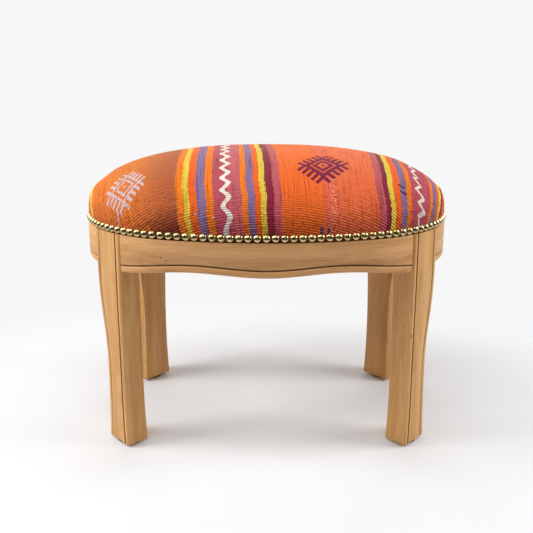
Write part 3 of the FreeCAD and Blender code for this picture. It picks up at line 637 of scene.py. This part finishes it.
JUTE_PITCH, HESSIAN_PITCH = 2.4 * MM, 1.8 * MM
jute = plain_weave("woven jute webbing", JUTE_PITCH, "A98556", "B8935F", "6F5534")
burlap = plain_weave("hessian cloth", HESSIAN_PITCH, "B59668", "C2A376", "7A613E")
print("weaves of", round(JUTE_PITCH / MM, 1), "and", round(HESSIAN_PITCH / MM, 1), "mm")

# %% Length of a strap
STRAP_INSET = 10 * MM
HALVINGS = 40


def oval_half(across, along_x):
    """Half the oval's length, less the inset, on lines beside its middle, found by halving."""
    low, high = np.zeros_like(across), np.full_like(across, HALF_LENGTH)
    for _ in range(HALVINGS):
        middle = (low + high) / 2
        x, y = (middle, across) if along_x else (across, middle)
        outside = np.hypot(x, y) > oval_radius(np.arctan2(y, x), STRAP_INSET)
        low, high = np.where(outside, low, middle), np.where(outside, middle, high)
    return low


print("a strap through the middle is", round(2 * float(oval_half(np.zeros(1), True)[0]) / MM), "mm long")

# %% One strap
STRAP_WIDTH = 50 * MM
STRAP_THICK = 1.6 * MM
STRAP_LIFT = 1.7 * MM
SHELF_HALF = STRAP_WIDTH / 2 + 3 * MM
RAMP = 9 * MM
STRAP_COLUMNS, STRAP_ROWS = 9, 190


def strap(name, side, crossings, along_x):
    """One strap beside the middle, lifted over the straps at the crossings and flat under the others."""
    across = side + np.linspace(-0.5, 0.5, STRAP_COLUMNS) * STRAP_WIDTH
    half = oval_half(across, along_x)
    along = np.linspace(-1, 1, STRAP_ROWS)[:, None] * half[None, :]
    lift = np.zeros_like(along)
    for crossing in crossings:
        near = np.clip((SHELF_HALF + RAMP - np.abs(along - crossing)) / RAMP, 0, 1)
        lift = np.maximum(lift, near * near * (3 - 2 * near))
    height = FRAME_TOP + STRAP_THICK / 2 + lift * STRAP_LIFT
    across = np.broadcast_to(across, along.shape)
    x, y = (along, across) if along_x else (across, along)
    corner = np.arange(STRAP_ROWS - 1)[:, None] * STRAP_COLUMNS + np.arange(STRAP_COLUMNS - 1)
    faces = np.stack([corner, corner + 1, corner + STRAP_COLUMNS + 1, corner + STRAP_COLUMNS], -1)
    points = np.stack([x, y, height], -1).reshape(-1, 3)
    piece = new_piece(name + "_strap", points, faces.reshape(-1, 4).tolist(), jute, [name])
    thicken(piece, STRAP_THICK, 0)


# %% Weave of straps
LONG_PITCH, CROSS_PITCH = 78 * MM, 80 * MM
LONG_SIDES = [row * LONG_PITCH for row in (-1, 0, 1)]
CROSS_SIDES = [row * CROSS_PITCH for row in (-2, -1, 0, 1, 2)]
for row, side in enumerate(LONG_SIDES):
    over = [other for column, other in enumerate(CROSS_SIDES) if (row + column) % 2]
    strap(f"webbing_long_{row + 1}", side, over, True)
for column, side in enumerate(CROSS_SIDES):
    over = [other for row, other in enumerate(LONG_SIDES) if (row + column) % 2 == 0]
    strap(f"webbing_cross_{column + 1}", side, over, False)

# %% [markdown]
# ## Hessian
#
# Hessian closes the gaps between the straps, so that the foam can't push through. It is a flat oval, drawn
# tight, and a net of rings follows its edge better than a square grid would.

# %% Hessian
HESSIAN_RINGS, HESSIAN_SEGMENTS = 30, 120
low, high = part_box("hessian")
level = (low[2] + high[2]) / 2
angle = np.tile(np.linspace(-math.pi, math.pi, HESSIAN_SEGMENTS, endpoint=False), HESSIAN_RINGS)
share = np.repeat(np.arange(1, HESSIAN_RINGS + 1) / HESSIAN_RINGS, HESSIAN_SEGMENTS)
radius = oval_radius(angle, STRAP_INSET) * share
flat = np.stack([radius * np.cos(angle), radius * np.sin(angle), np.full(len(radius), level)], -1)
points = np.concatenate([[[0, 0, level]], flat])
hessian = new_piece("hessian_cloth", points, ring_faces(HESSIAN_RINGS, HESSIAN_SEGMENTS), burlap,
                    ["hessian"])
thicken(hessian, high[2] - low[2], 0)

# %% [markdown]
# ## Foam and wadding
#
# A block of foam is cut to the dome, and a layer of wadding takes away its edges. The cover hides both, so
# the dome itself is shape enough. Foam is a mass of burst bubbles and wadding a mat of loose fibres: Voronoi
# cells with dark middles give both the look of many small holes.

# %% Stuffing material
HOLE_DEPTH = 0.6 * MM


def spongy(name, pale, deep, cell):
    """A soft pale stuff with small holes, a cell apart."""
    # Light goes astray in the holes, so the stuff is matt and darker inside
    material, tree, surface = new_material(name, Roughness=0.95, Specular_IOR_Level=0.1)
    place = add(tree, "TexCoord", out="Object")
    cells = add(tree, "TexVoronoi", place, sockets={"Scale": 1 / cell}, out="Distance")
    colour = add(tree, "ValToRGB", cells, stops=[(0.0, deep), (0.45, pale)])
    tree.links.new(colour, surface.inputs["Base Color"])
    relief = add(tree, "Bump", sockets={"Height": cells, "Distance": HOLE_DEPTH})
    tree.links.new(relief, surface.inputs["Normal"])
    return material


FOAM_CELL, FIBRE_GAP = 1.43 * MM, 2.38 * MM
# Foam bubbles are about 0.5 mm and fibre gaps about 1 mm; both are drawn coarser so that they show
foam_stuff = spongy("open-cell foam", "E9E0BE", "C9BE97", FOAM_CELL)
fibre_stuff = spongy("polyester wadding", "F1EFEA", "D5D2CB", FIBRE_GAP)
print("stuffing with holes", round(FOAM_CELL / MM, 2), "and", round(FIBRE_GAP / MM, 2), "mm apart")

# %% Foam block
PAD_RINGS, PAD_SEGMENTS = 36, 160
BASE_RINGS = 10
upper = ringed(Dome("foam_pad"), PAD_RINGS, PAD_SEGMENTS)
edge = upper[-PAD_SEGMENTS:]
shares = np.linspace(1, 0, BASE_RINGS + 2)[1:-1]
base = np.concatenate([edge * [share, share, 1] for share in shares])
points = np.concatenate([upper, base, [[0, 0, edge[0][2]]]])
faces = ring_faces(PAD_RINGS + BASE_RINGS, PAD_SEGMENTS)
last = len(points) - 1
first = last - PAD_SEGMENTS
faces += [(first + j, last, first + (j + 1) % PAD_SEGMENTS) for j in range(PAD_SEGMENTS)]
foam = new_piece("foam_block", points, faces, foam_stuff, ["foam_pad"])
print("foam block of", len(faces), "faces")

# %% Wadding
WADDING_THICK = 6 * MM
points, faces = ringed(Dome("wadding"), PAD_RINGS, PAD_SEGMENTS), ring_faces(PAD_RINGS, PAD_SEGMENTS)
wadding = new_piece("wadding_layer", points, faces, fibre_stuff, ["wadding"])
thicken(wadding, WADDING_THICK, -1)
print("wadding", round(WADDING_THICK / MM), "mm thick")

# %% [markdown]
# ## The kilim's stripes
#
# A kilim has no pile: the coloured weft is beaten down until it hides the warp, and it lies in ribs that run
# along this bench, 3.3 mm apart. Stripes are bands of one dye. A painted picture would blur close up, so the
# pattern is drawn by nodes from lengths on the cloth itself, which the mesh carries as an attribute named
# cloth: how far along the bench, how far across it, and how far from the lower edge. Each rib starts its
# colour a little early or late, as a weaver does.

# %% Dyes and stripes
RIB = 3.3 * MM
DYES = {
    "rust": "CB7231", "brown": "A2583A", "dark brown": "652A1F", "orange": "E67620", "red orange": "E46122",
    "yellow": "D2BF45", "violet": "80688D", "pink magenta": "B85E66", "magenta": "AB4E5C",
    "burgundy": "81283D", "mauve": "B25660", "field": "E3672B", "coral": "DA683F", "rose": "D76345",
    "pink": "CC6555", "white": "E4DACD", "grey": "BEAFB3", "plum": "762240", "violet thread": "564672",
    "shade": "270F10", "bare warp": "F2C9A0",
}
FIRST, LAST = -330, 330
# Each stripe starts at a place along the cloth, in mm from its middle
STRIPES = [
    (FIRST, "pink"), (-277, "yellow"), (-272, "rust"), (-134, "orange"), (-125.1, "yellow"),
    (-116.4, "red orange"), (-107.3, "violet"), (-94.5, "orange"), (-84.3, "magenta"), (-64, "pink magenta"),
    (-45.6, "orange"), (-37.4, "violet"), (-27, "red orange"), (-18.2, "yellow"), (-10.9, "burgundy"),
    (-1.3, "mauve"), (10.1, "field"), (69, "rose"), (90, "coral"), (142.5, "mauve"), (154.5, "burgundy"),
    (162.4, "yellow"), (168.6, "red orange"), (178.6, "violet"), (189, "orange"), (197, "magenta"),
    (230.5, "orange"), (237, "violet"), (243.5, "red orange"), (249.5, "yellow"), (253.5, "burgundy"),
    (259, "coral"),
]
print(len(STRIPES), "stripes in", len({dye for _, dye in STRIPES}), "dyes")

# %% Striped wool
RIB_STEP = 1.5 * MM
WANDER, WANDER_LENGTH = 5 * MM, 45.5 * MM
# Wool is matt, and its loose fibres catch a warm sheen at the edge of the dome
wool, tree, surface = new_material("flat-woven kilim wool", Roughness=0.9, Specular_IOR_Level=0.08,
                                   Sheen_Weight=0.16, Sheen_Roughness=0.45, Sheen_Tint=linear("FFD2AE"))
woven = add(tree, "Attribute", attribute_name="cloth", out="Vector")
along, across, from_edge = add(tree, "SeparateXYZ", woven).node.outputs
cloth = add(tree, "VectorMath", woven, (1.0, 1.0, 0.0), operation="MULTIPLY")
rib_way = add(tree, "Math", across, RIB, operation="DIVIDE")
rib = add(tree, "Math", rib_way, operation="FLOOR")
rib_noise = add(tree, "TexWhiteNoise", sockets={"W": rib}, noise_dimensions="1D", out="Value")
uneven = add(tree, "Math", rib_noise, 0.5, operation="SUBTRACT")
wander_way = add(tree, "Math", across, WANDER_LENGTH, operation="DIVIDE")
wander = add(tree, "TexNoise", sockets={"W": wander_way, "Scale": 1.0, "Detail": 1.0}, noise_dimensions="1D")
wander = add(tree, "Math", wander, 0.5, operation="SUBTRACT")
place = add(tree, "Math", uneven, RIB_STEP, along, operation="MULTIPLY_ADD")
place = add(tree, "Math", wander, WANDER, place, operation="MULTIPLY_ADD")
share = add(tree, "MapRange", place, FIRST * MM, LAST * MM)
stops = [((edge - FIRST) / (LAST - FIRST), DYES[dye]) for edge, dye in STRIPES]
colour = add(tree, "ValToRGB", share, stops=stops, stepped=True)
print("stripes from", FIRST, "to", LAST, "mm")

# %% [markdown]
# ## Dye lots
#
# The left field was woven from several lots of yarn: rust at the end, browner towards the stripes, in fine
# streaks. Low at the front, near the stripes, it is darker still. One noise, long across the bench and
# narrow along it, stands for the yarns, and it serves again later for the shade of the whole cloth.

# %% Dye lots of the left field
STREAK_WIDTH, STREAK_LENGTH = 2.38 * MM, 71.4 * MM
FIELD_END, BROWN_FROM = -134 * MM, -200 * MM
LOW_FROM, LOW_TO = -186 * MM, -216 * MM
DARK_FROM, DARK_TO = -250 * MM, -170 * MM


def spots(along_size, across_size, detail):
    """Noise on the cloth whose spots have a size along the bench and one across it."""
    spread = add(tree, "VectorMath", cloth, (1 / along_size, 1 / across_size, 1.0), operation="MULTIPLY")
    return add(tree, "TexNoise", spread, sockets={"Scale": 1.0, "Detail": detail})


# A yarn is about 1 mm thick and too fine to show, so a streak stands for two or three of them
streaks = spots(STREAK_WIDTH, STREAK_LENGTH, 2.0)
in_field = add(tree, "Math", place, FIELD_END, operation="LESS_THAN")
lot = add(tree, "MapRange", place, BROWN_FROM, FIELD_END, 0.0, 1.6)
lot = add(tree, "Math", lot, in_field, operation="MULTIPLY")
patchy = add(tree, "Math", streaks, 3.4, -0.95, operation="MULTIPLY_ADD")
browned = add(tree, "Math", lot, patchy, operation="MULTIPLY", use_clamp=True)
colour = add(tree, "Mix", sockets={FACTOR: browned, UNDER: colour, OVER: linear(DYES["brown"])}, **COLOURS)
# Darker low at the front, near the stripes
low_down = add(tree, "MapRange", across, LOW_FROM, LOW_TO, 0.0, 0.8)
to_stripes = add(tree, "MapRange", place, DARK_FROM, DARK_TO)
darkened = add(tree, "Math", low_down, to_stripes, operation="MULTIPLY")
darkened = add(tree, "Math", darkened, in_field, operation="MULTIPLY")
colour = add(tree, "Mix", sockets={FACTOR: darkened, UNDER: colour, OVER: linear(DYES["dark brown"])},
             **COLOURS)
print("left field browns from", round(BROWN_FROM / MM), "to", round(FIELD_END / MM), "mm")

# %% [markdown]
# ## Zigzag
#
# A white zigzag runs down the magenta stripe. It opens and closes on its way, because the weaver's hand and
# the pull of the nails aren't even. It could be a row of short strokes, but a cosine is rounder and needs no
# list of corners: the number of its half turns at a few places down the front sets its pace, with a smooth
# curve between them. From the crown to the back it goes on evenly.

# %% White zigzag
# How many half turns lie behind a point, by its distance from the crown towards the front in mm
HALF_TURNS = {80: 1.9, 110: 3.65, 140: 5.87, 170: 8.36, 200: 10.77, 230: 12.65, 250: 13.34}
EVEN_FROM = 80.0
PACE_POWER = 4
ZIGZAG_MIDDLE, ZIGZAG_SWING, ZIGZAG_STROKE = -65 * MM, 4.2 * MM, 7.4 * MM
ZIGZAG_UNEVEN = 1.2 * MM
pace = np.polyfit(list(HALF_TURNS), list(HALF_TURNS.values()), PACE_POWER)
even_pace = np.polyval(np.polyder(pace), EVEN_FROM)
to_front = add(tree, "Math", across, -1 / MM, operation="MULTIPLY")
pulled = add(tree, "Math", to_front, EVEN_FROM, operation="MAXIMUM")
count = pace[0]
for term in pace[1:]:
    count = add(tree, "Math", pulled, count, term, operation="MULTIPLY_ADD")
beyond = add(tree, "Math", to_front, EVEN_FROM, operation="SUBTRACT")
beyond = add(tree, "Math", beyond, 0.0, operation="MINIMUM")
count = add(tree, "Math", beyond, even_pace, count, operation="MULTIPLY_ADD")
turned = add(tree, "Math", count, math.pi, operation="MULTIPLY")
wave = add(tree, "Math", turned, operation="COSINE")
side = add(tree, "Math", wave, ZIGZAG_SWING, ZIGZAG_MIDDLE, operation="MULTIPLY_ADD")
side = add(tree, "Math", uneven, ZIGZAG_UNEVEN, side, operation="MULTIPLY_ADD")
off = add(tree, "Math", along, side, operation="SUBTRACT")
off = add(tree, "Math", off, operation="ABSOLUTE")
mask = add(tree, "Math", off, ZIGZAG_STROKE / 2, operation="LESS_THAN")
colour = add(tree, "Mix", sockets={FACTOR: mask, UNDER: colour, OVER: linear(DYES["white"])}, **COLOURS)
print("zigzag turns every", round(1 / even_pace, 1), "mm at the crown")

# %% [markdown]
# ## Diamonds
#
# Two diamonds are laid in with an extra weft: rings round a dot, with a comb of teeth on each outer side.
# They could be drawn as many small lines. It is shorter to measure every point in shares of the diamond's
# two half diagonals: the shares' sum gives the rings, and their difference gives the teeth.

# %% Comb-edged diamonds
TOOTH_PITCH = 0.46
COMB_REACH = 1.15
COMB = [(0.0, "000000"), (0.48, "FFFFFF"), (0.81, "000000")]
DIAMOND_UNEVEN = 0.035


def diamond(colour, dye, centre, half_along, half_across, rings, tooth):
    """A diamond on a centre and two half diagonals in mm; rings say where the dye starts and stops."""
    to_shares = np.linalg.inv(np.transpose([half_along, half_across]) * MM)
    apart = add(tree, "VectorMath", cloth, (*np.multiply(centre, MM), 0.0), operation="SUBTRACT")
    shares = []
    for row in to_shares:
        share = add(tree, "VectorMath", apart, (*row, 0.0), operation="DOT_PRODUCT", out="Value")
        shares.append(add(tree, "Math", share, operation="ABSOLUTE"))
    reach = add(tree, "Math", *shares, operation="ADD")
    reach = add(tree, "Math", uneven, DIAMOND_UNEVEN, reach, operation="MULTIPLY_ADD")
    reach = add(tree, "Math", reach, 2.0, operation="DIVIDE")
    stops = [(start / 2, "FFFFFF" if dyed else "000000") for start, dyed in rings]
    drawn = add(tree, "ValToRGB", reach, stops=stops, stepped=True)
    on_comb = add(tree, "ValToRGB", reach, stops=COMB, stepped=True)
    round_way = add(tree, "Math", *shares, operation="SUBTRACT")
    turned = add(tree, "Math", round_way, 2 * math.pi / TOOTH_PITCH, operation="MULTIPLY")
    wave = add(tree, "Math", turned, operation="COSINE")
    teeth = add(tree, "Math", wave, tooth, operation="GREATER_THAN")
    aside = add(tree, "Math", round_way, operation="ABSOLUTE")
    beside = add(tree, "Math", aside, COMB_REACH, operation="LESS_THAN")
    teeth = add(tree, "Math", teeth, beside, operation="MULTIPLY")
    teeth = add(tree, "Math", on_comb, teeth, operation="MULTIPLY")
    mask = add(tree, "Math", drawn, teeth, operation="MAXIMUM")
    return add(tree, "Mix", sockets={FACTOR: mask, UNDER: colour, OVER: linear(DYES[dye])}, **COLOURS)


GREY_RINGS = [(0.0, True), (0.12, False), (0.44, True), (0.63, False), (0.82, True), (1.0, False)]
PLUM_RINGS = [(0.0, True), (0.1, False), (0.32, True), (0.58, False), (0.68, True), (1.0, False)]
colour = diamond(colour, "grey", (-208.7, -125.7), (23.1, -2.3), (1.1, 31.1), GREY_RINGS, 0.0)
colour = diamond(colour, "plum", (73.9, -117.8), (28.2, 6.0), (3.1, 34.0), PLUM_RINGS, -0.25)
print("diamonds in grey and plum")

# %% [markdown]
# ## Loose threads
#
# A second, ragged zigzag and some short ends of yarn lie on the cloth, with two shadows in a crease. Each is
# a straight stroke between two points, so one function draws them all: a point belongs to the stroke if it
# is near enough to the stroke's nearest point.

# %% Threads
# Corners of the ragged zigzag, in mm along and across the cloth
HOOKS = [(216, 150), (205, 120), (216, 95), (205, 70), (217, 45), (205, 20), (215, -5), (207, -30),
         (215, -42), (206.5, -64), (213.5, -82), (207, -88), (215, -107), (206.5, -120), (219.5, -129),
         (211, -142), (223.5, -144), (211.5, -157), (216, -168)]
HOOK_STROKE = 4.0
THREADS = [("white", start, end, HOOK_STROKE) for start, end in zip(HOOKS, HOOKS[1:])] + [
    ("grey", (-221, -159), (-225.5, -170), 3.0), ("orange", (-179.4, -200.5), (-178.9, -206.5), 3.0),
    ("violet thread", (65.9, -229), (66.3, -240), 4.2), ("violet thread", (76.8, -228.5), (77.7, -240), 4.2),
    ("grey", (-109.4, -206.8), (-108.6, -207), 2.0), ("grey", (-84.8, -215.2), (-83.5, -215.4), 2.0),
    ("shade", (179.5, -131.4), (185.6, -133.9), 3.4), ("shade", (182.1, -143), (189.2, -144.6), 3.2),
]


def thread(colour, dye, start, end, width):
    """A short end of yarn that lies on the cloth from one point to another, in mm."""
    start, way = np.multiply(start, MM), np.subtract(end, start) * MM
    apart = add(tree, "VectorMath", cloth, (*start, 0.0), operation="SUBTRACT")
    gone = add(tree, "VectorMath", apart, (*way / way.dot(way), 0.0), operation="DOT_PRODUCT", out="Value")
    gone = add(tree, "Clamp", gone)
    nearest = add(tree, "VectorMath", (*way, 0.0), sockets={"Scale": gone}, operation="SCALE")
    off = add(tree, "VectorMath", apart, nearest, operation="DISTANCE", out="Value")
    mask = add(tree, "Math", off, width * MM / 2, operation="LESS_THAN")
    return add(tree, "Mix", sockets={FACTOR: mask, UNDER: colour, OVER: linear(DYES[dye])}, **COLOURS)


for stroke in THREADS:
    colour = thread(colour, *stroke)
print(len(THREADS), "threads")

# %% [markdown]
# ## Wear and ribs
#
# Old cloth isn't one even colour. The warp shows as pale specks where the weft has worn, and each yarn has
# its own shade. Towards the lower edge the cloth is darkened with painted shade, and a painted shadow lies
# behind the nails. Near the edge, where the ribs stand apart, the wool is brightened as painted light and
# their gaps darken with painted shade, so they show far more than at the crown. The ribs themselves are real
# shapes of the mesh below. Here they only get their colours and a fine relief.

# %% Worn column
WORN_MIDDLE, WORN_HALF, WORN_FROM = 83 * MM, 5 * MM, -150 * MM
SPECK_WIDTH, SPECK_LENGTH = 3.33 * MM, 2.38 * MM
specks = spots(SPECK_WIDTH, SPECK_LENGTH, 1.0)
specks = add(tree, "Math", specks, 0.57, operation="GREATER_THAN")
aside = add(tree, "Math", along, WORN_MIDDLE, operation="SUBTRACT")
aside = add(tree, "Math", aside, operation="ABSOLUTE")
column = add(tree, "Math", aside, WORN_HALF, operation="LESS_THAN")
low_down = add(tree, "Math", across, WORN_FROM, operation="LESS_THAN")
worn = add(tree, "Math", column, low_down, operation="MULTIPLY")
worn = add(tree, "Math", worn, specks, operation="MULTIPLY")
worn = add(tree, "Math", worn, 0.4, operation="MULTIPLY")
colour = add(tree, "Mix", sockets={FACTOR: worn, UNDER: colour, OVER: linear(DYES["bare warp"])}, **COLOURS)
print("worn column", round(2 * WORN_HALF / MM), "mm wide")

# %% Shade of the yarns
YARN_LENGTH = 16.7 * MM
yarn = spots(YARN_LENGTH, RIB, 3.0)
yarn = add(tree, "Math", yarn, 0.3, operation="MULTIPLY")
shade = add(tree, "Math", streaks, 0.7, yarn, operation="MULTIPLY_ADD")
shade = add(tree, "ValToRGB", shade, stops=[(0.33, "CCC2B7"), (0.51, "FFFFFF")])
colour = add(tree, "Mix", sockets={FACTOR: 1.0, UNDER: colour, OVER: shade}, blend_type="MULTIPLY",
             **COLOURS)
print("yarns shade in lengths of", round(YARN_LENGTH / MM, 1), "mm")

# %% Ribs and gaps
RIB_SHADE_FROM, RIB_SHADE_TO = 110 * MM, 18 * MM
BEAD_LENGTH = 4.35 * MM
BEAD_DEPTH = 0.6 * MM
# The gap red is painted shade between the ribs
GAP_SHADE_RED = "8C382D"
BRIGHTEST = (0.97, 0.97, 0.97)
# The wool is brightened as painted light, most near the edge, and painted shade darkens the valley
# between two ribs and thin places along a rib
rib_shade_share = add(tree, "MapRange", from_edge, RIB_SHADE_FROM, RIB_SHADE_TO, 0.06, 1.0)
phase = add(tree, "Math", rib_way, operation="FRACT")
valley = add(tree, "Math", phase, 2.0, -1.0, operation="MULTIPLY_ADD")
valley = add(tree, "Math", valley, operation="ABSOLUTE")
valley = add(tree, "Math", valley, 1.4, operation="POWER")
beads = spots(BEAD_LENGTH, RIB, 1.0)
thin_place_shade = add(tree, "MapRange", beads, 0.52, 0.34, 0.0, 0.7)
# Painted shade in the valleys and thin places, strongest near the edge
rib_gap_shade = add(tree, "Math", valley, thin_place_shade, operation="MAXIMUM")
rib_gap_shade = add(tree, "Math", rib_gap_shade, rib_shade_share, operation="MULTIPLY")
# Painted light: the wool is lifted towards the edge, so that the rib crests stay bright
edge_light_lift = add(tree, "Math", rib_shade_share, 0.55, 1.07, operation="MULTIPLY_ADD")
colour = add(tree, "VectorMath", colour, sockets={"Scale": edge_light_lift}, operation="SCALE")
colour = add(tree, "VectorMath", colour, BRIGHTEST, operation="MINIMUM")
colour = add(tree, "Mix", sockets={FACTOR: rib_gap_shade, UNDER: colour, OVER: linear(GAP_SHADE_RED)},
             blend_type="MULTIPLY", **COLOURS)
relief = add(tree, "Bump", sockets={"Height": beads, "Distance": BEAD_DEPTH, "Strength": 0.5})
tree.links.new(relief, surface.inputs["Normal"])
print("ribs open from", round(RIB_SHADE_FROM / MM), "mm above the lower edge")

# %% Lower edge
LOW_SHADE_FROM, LOW_SHADE_TO = 40 * MM, 8 * MM
HEM_SHADOW_FROM, HEM_SHADOW_TO = 7 * MM, 4 * MM
LOW_SHADE_BROWN = "6A3A34"
# Painted shade: the cloth darkens towards its lower edge
low_shade = add(tree, "MapRange", from_edge, LOW_SHADE_FROM, LOW_SHADE_TO, 0.0, 0.35)
colour = add(tree, "Mix", sockets={FACTOR: low_shade, UNDER: colour, OVER: linear(LOW_SHADE_BROWN)},
             blend_type="MULTIPLY", **COLOURS)
# Painted shadow: the turned hem below the nails is darkened as the nails' shadow
hem_shadow = add(tree, "MapRange", from_edge, HEM_SHADOW_FROM, HEM_SHADOW_TO, 0.0, 0.85)
colour = add(tree, "Mix", sockets={FACTOR: hem_shadow, UNDER: colour, OVER: linear(DYES["shade"])}, **COLOURS)
tree.links.new(colour, surface.inputs["Base Color"])
print("kilim wool of", len(tree.nodes), "nodes")

# %% [markdown]
# ## How the stuffing swells the cover
#
# The cover is nailed tight over the stuffing, which pushes it out a little between the crown and the nails.
# A trial sheet with cloth physics finds by how much: its edge is held where the nails are, and pressure from
# below takes the place of the stuffing. Only the offsets are kept, and at most 2 mm, because the real cover
# has hardly any slack.

# %% Trial sheet
NAIL_TOP = 341 * MM
SWELL_CAP = 2.0 * MM
TRIAL_RINGS, TRIAL_SEGMENTS = 44, 256
TRIAL_FRAMES = 20
PRESSURE, STIFFNESS = 4.0, 40.0


def swollen(start):
    """How far the stuffing pushes each point of the trial sheet out."""
    mesh = bpy.data.meshes.new("cover_trial")
    mesh.from_pydata(start.tolist(), [], ring_faces(TRIAL_RINGS, TRIAL_SEGMENTS))
    trial = bpy.data.objects.new("cover_trial", mesh)
    scene.collection.objects.link(trial)
    held = trial.vertex_groups.new(name="held")
    held.add(np.flatnonzero(start[:, 2] < NAIL_TOP).tolist(), 1.0, "REPLACE")
    physics = trial.modifiers.new("cloth", "CLOTH")
    physics.settings.vertex_group_mass = "held"
    physics.settings.use_pressure = True
    physics.settings.uniform_pressure_force = PRESSURE
    physics.settings.quality = 6
    physics.settings.tension_stiffness = STIFFNESS
    physics.settings.compression_stiffness = STIFFNESS
    physics.settings.effector_weights.gravity = 0.0
    physics.point_cache.frame_end = TRIAL_FRAMES
    for step in range(1, TRIAL_FRAMES + 1):
        scene.frame_set(step)
    made = trial.evaluated_get(bpy.context.evaluated_depsgraph_get()).to_mesh()
    moved = np.empty(start.size)
    made.vertices.foreach_get("co", moved)
    offset = moved.reshape(-1, 3) - start
    bpy.data.objects.remove(trial)
    scene.frame_set(1)
    return offset


offset = swollen(ringed(cover_dome, TRIAL_RINGS, TRIAL_SEGMENTS))
length = np.linalg.norm(offset, axis=1, keepdims=True)
offset *= np.minimum(1, SWELL_CAP / np.maximum(length, 1e-9))
print("cover swells by", round(float(length.max()) / MM, 2), "mm at most before the cap")

# %% [markdown]
# ## The woven sheet
#
# The cover's net follows its ribs: three rows of points for each rib, laid out on the flat cloth and then
# bent over the dome by their distance and direction from the crown. A round net would be simpler, but its
# rows would cross the ribs, and the ribs couldn't stand up as real shapes.

# %% Net of the cover
COLUMN_STEP = 5 * MM
ROWS_PER_RIB = 3
CLOTH_HALF_ALONG, CLOTH_HALF_ACROSS = 345 * MM, 275 * MM
column_way = np.arange(-CLOTH_HALF_ALONG, CLOTH_HALF_ALONG + COLUMN_STEP / 2, COLUMN_STEP)
row_count = int(CLOTH_HALF_ACROSS / RIB) * ROWS_PER_RIB
row_way = np.arange(-row_count, row_count + 1) * RIB / ROWS_PER_RIB
way_u, way_v = [way.ravel() for way in np.meshgrid(column_way, row_way)]
angle, run = np.arctan2(way_v, way_u), np.hypot(way_u, way_v)
full = cover_dome.reach(angle)
part = np.minimum(run / full, 1)
by_ring = offset[1:].reshape(TRIAL_RINGS, TRIAL_SEGMENTS, 3)
by_ring = np.concatenate([np.broadcast_to(offset[0], (1, TRIAL_SEGMENTS, 3)), by_ring])
by_angle = np.concatenate([by_ring, by_ring[:, :1]], axis=1).swapaxes(0, 1)
points = cover_dome.points(angle, part) + between(by_angle, angle, part)
print(len(row_way), "rows of", len(column_way), "points")

# %% Cut along the lower edge
columns = len(column_way)
corner = np.arange(len(row_way) - 1)[:, None] * columns + np.arange(columns - 1)
quads = np.stack([corner, corner + 1, corner + columns + 1, corner + columns], -1).reshape(-1, 4)
quads = quads[~(run > full)[quads].all(axis=1)]
used = np.unique(quads)
renumber = np.zeros(len(points), int)
renumber[used] = np.arange(len(used))
quads, points = renumber[quads], points[used]
kilim = new_piece("kilim_cloth", points, quads.tolist(), wool, ["kilim_cover"])
print("kilim of", len(quads), "faces")

# %% [markdown]
# ## Lengths on the cloth
#
# The pattern needs the lengths of the flat cloth at every point. They aren't quite the flat net's own: the
# real cloth was laid a little askew, its stripes were drawn in towards the front and the back, and those at
# the right end lean outwards. Last of all, each rib rises out of the sheet, higher where the cloth is tight.

# %% Lengths for the pattern
CLOTH_TURN = math.radians(2.9)
DRAW_IN = 0.33
LEAN = 0.1
LEAN_START, LEAN_FULL = 100 * MM, 145 * MM
LEAN_MIDDLE, LEAN_REACH = -142 * MM, 190 * MM
reached = np.minimum(run, full)[used]
plan = np.hypot(points[:, 0], points[:, 1])
drawn = 1 + DRAW_IN * (reached / np.maximum(plan, 1e-6) - 1)
on_bench_u, on_bench_v = points[:, 0] * drawn, reached * np.sin(angle[used])
pattern_u = on_bench_u * math.cos(CLOTH_TURN) + on_bench_v * math.sin(CLOTH_TURN)
pattern_v = way_v[used]
leaning = np.clip((pattern_u - LEAN_START) / (LEAN_FULL - LEAN_START), 0, 1)
pattern_u -= leaning * LEAN * np.minimum(np.abs(pattern_v - LEAN_MIDDLE), LEAN_REACH)
edge_way = np.maximum(full - run, 0)[used]
lengths = kilim.data.attributes.new("cloth", "FLOAT_VECTOR", "POINT")
lengths.data.foreach_set("vector", np.stack([pattern_u, pattern_v, edge_way], -1).ravel())
print("pattern from", round(pattern_u.min() / MM), "to", round(pattern_u.max() / MM), "mm")

# %% Raised ribs
RIB_RISE, TIGHT_RISE = 0.3 * MM, 0.45 * MM
RISE_FROM, RISE_OVER = 120 * MM, 95 * MM
RIB_ROUND = 0.7
KILIM_THICK = 2 * MM
normals = np.empty(points.size)
kilim.data.vertices.foreach_get("normal", normals)
tightness = np.clip((RISE_FROM - edge_way) / RISE_OVER, 0, 1)
rise = (RIB_RISE + TIGHT_RISE * tightness) * np.sin(math.pi * (pattern_v / RIB % 1)) ** RIB_ROUND
points += normals.reshape(-1, 3) * rise[:, None]
kilim.data.vertices.foreach_set("co", points.ravel())
kilim.data.update()
thicken(kilim, KILIM_THICK, -1)
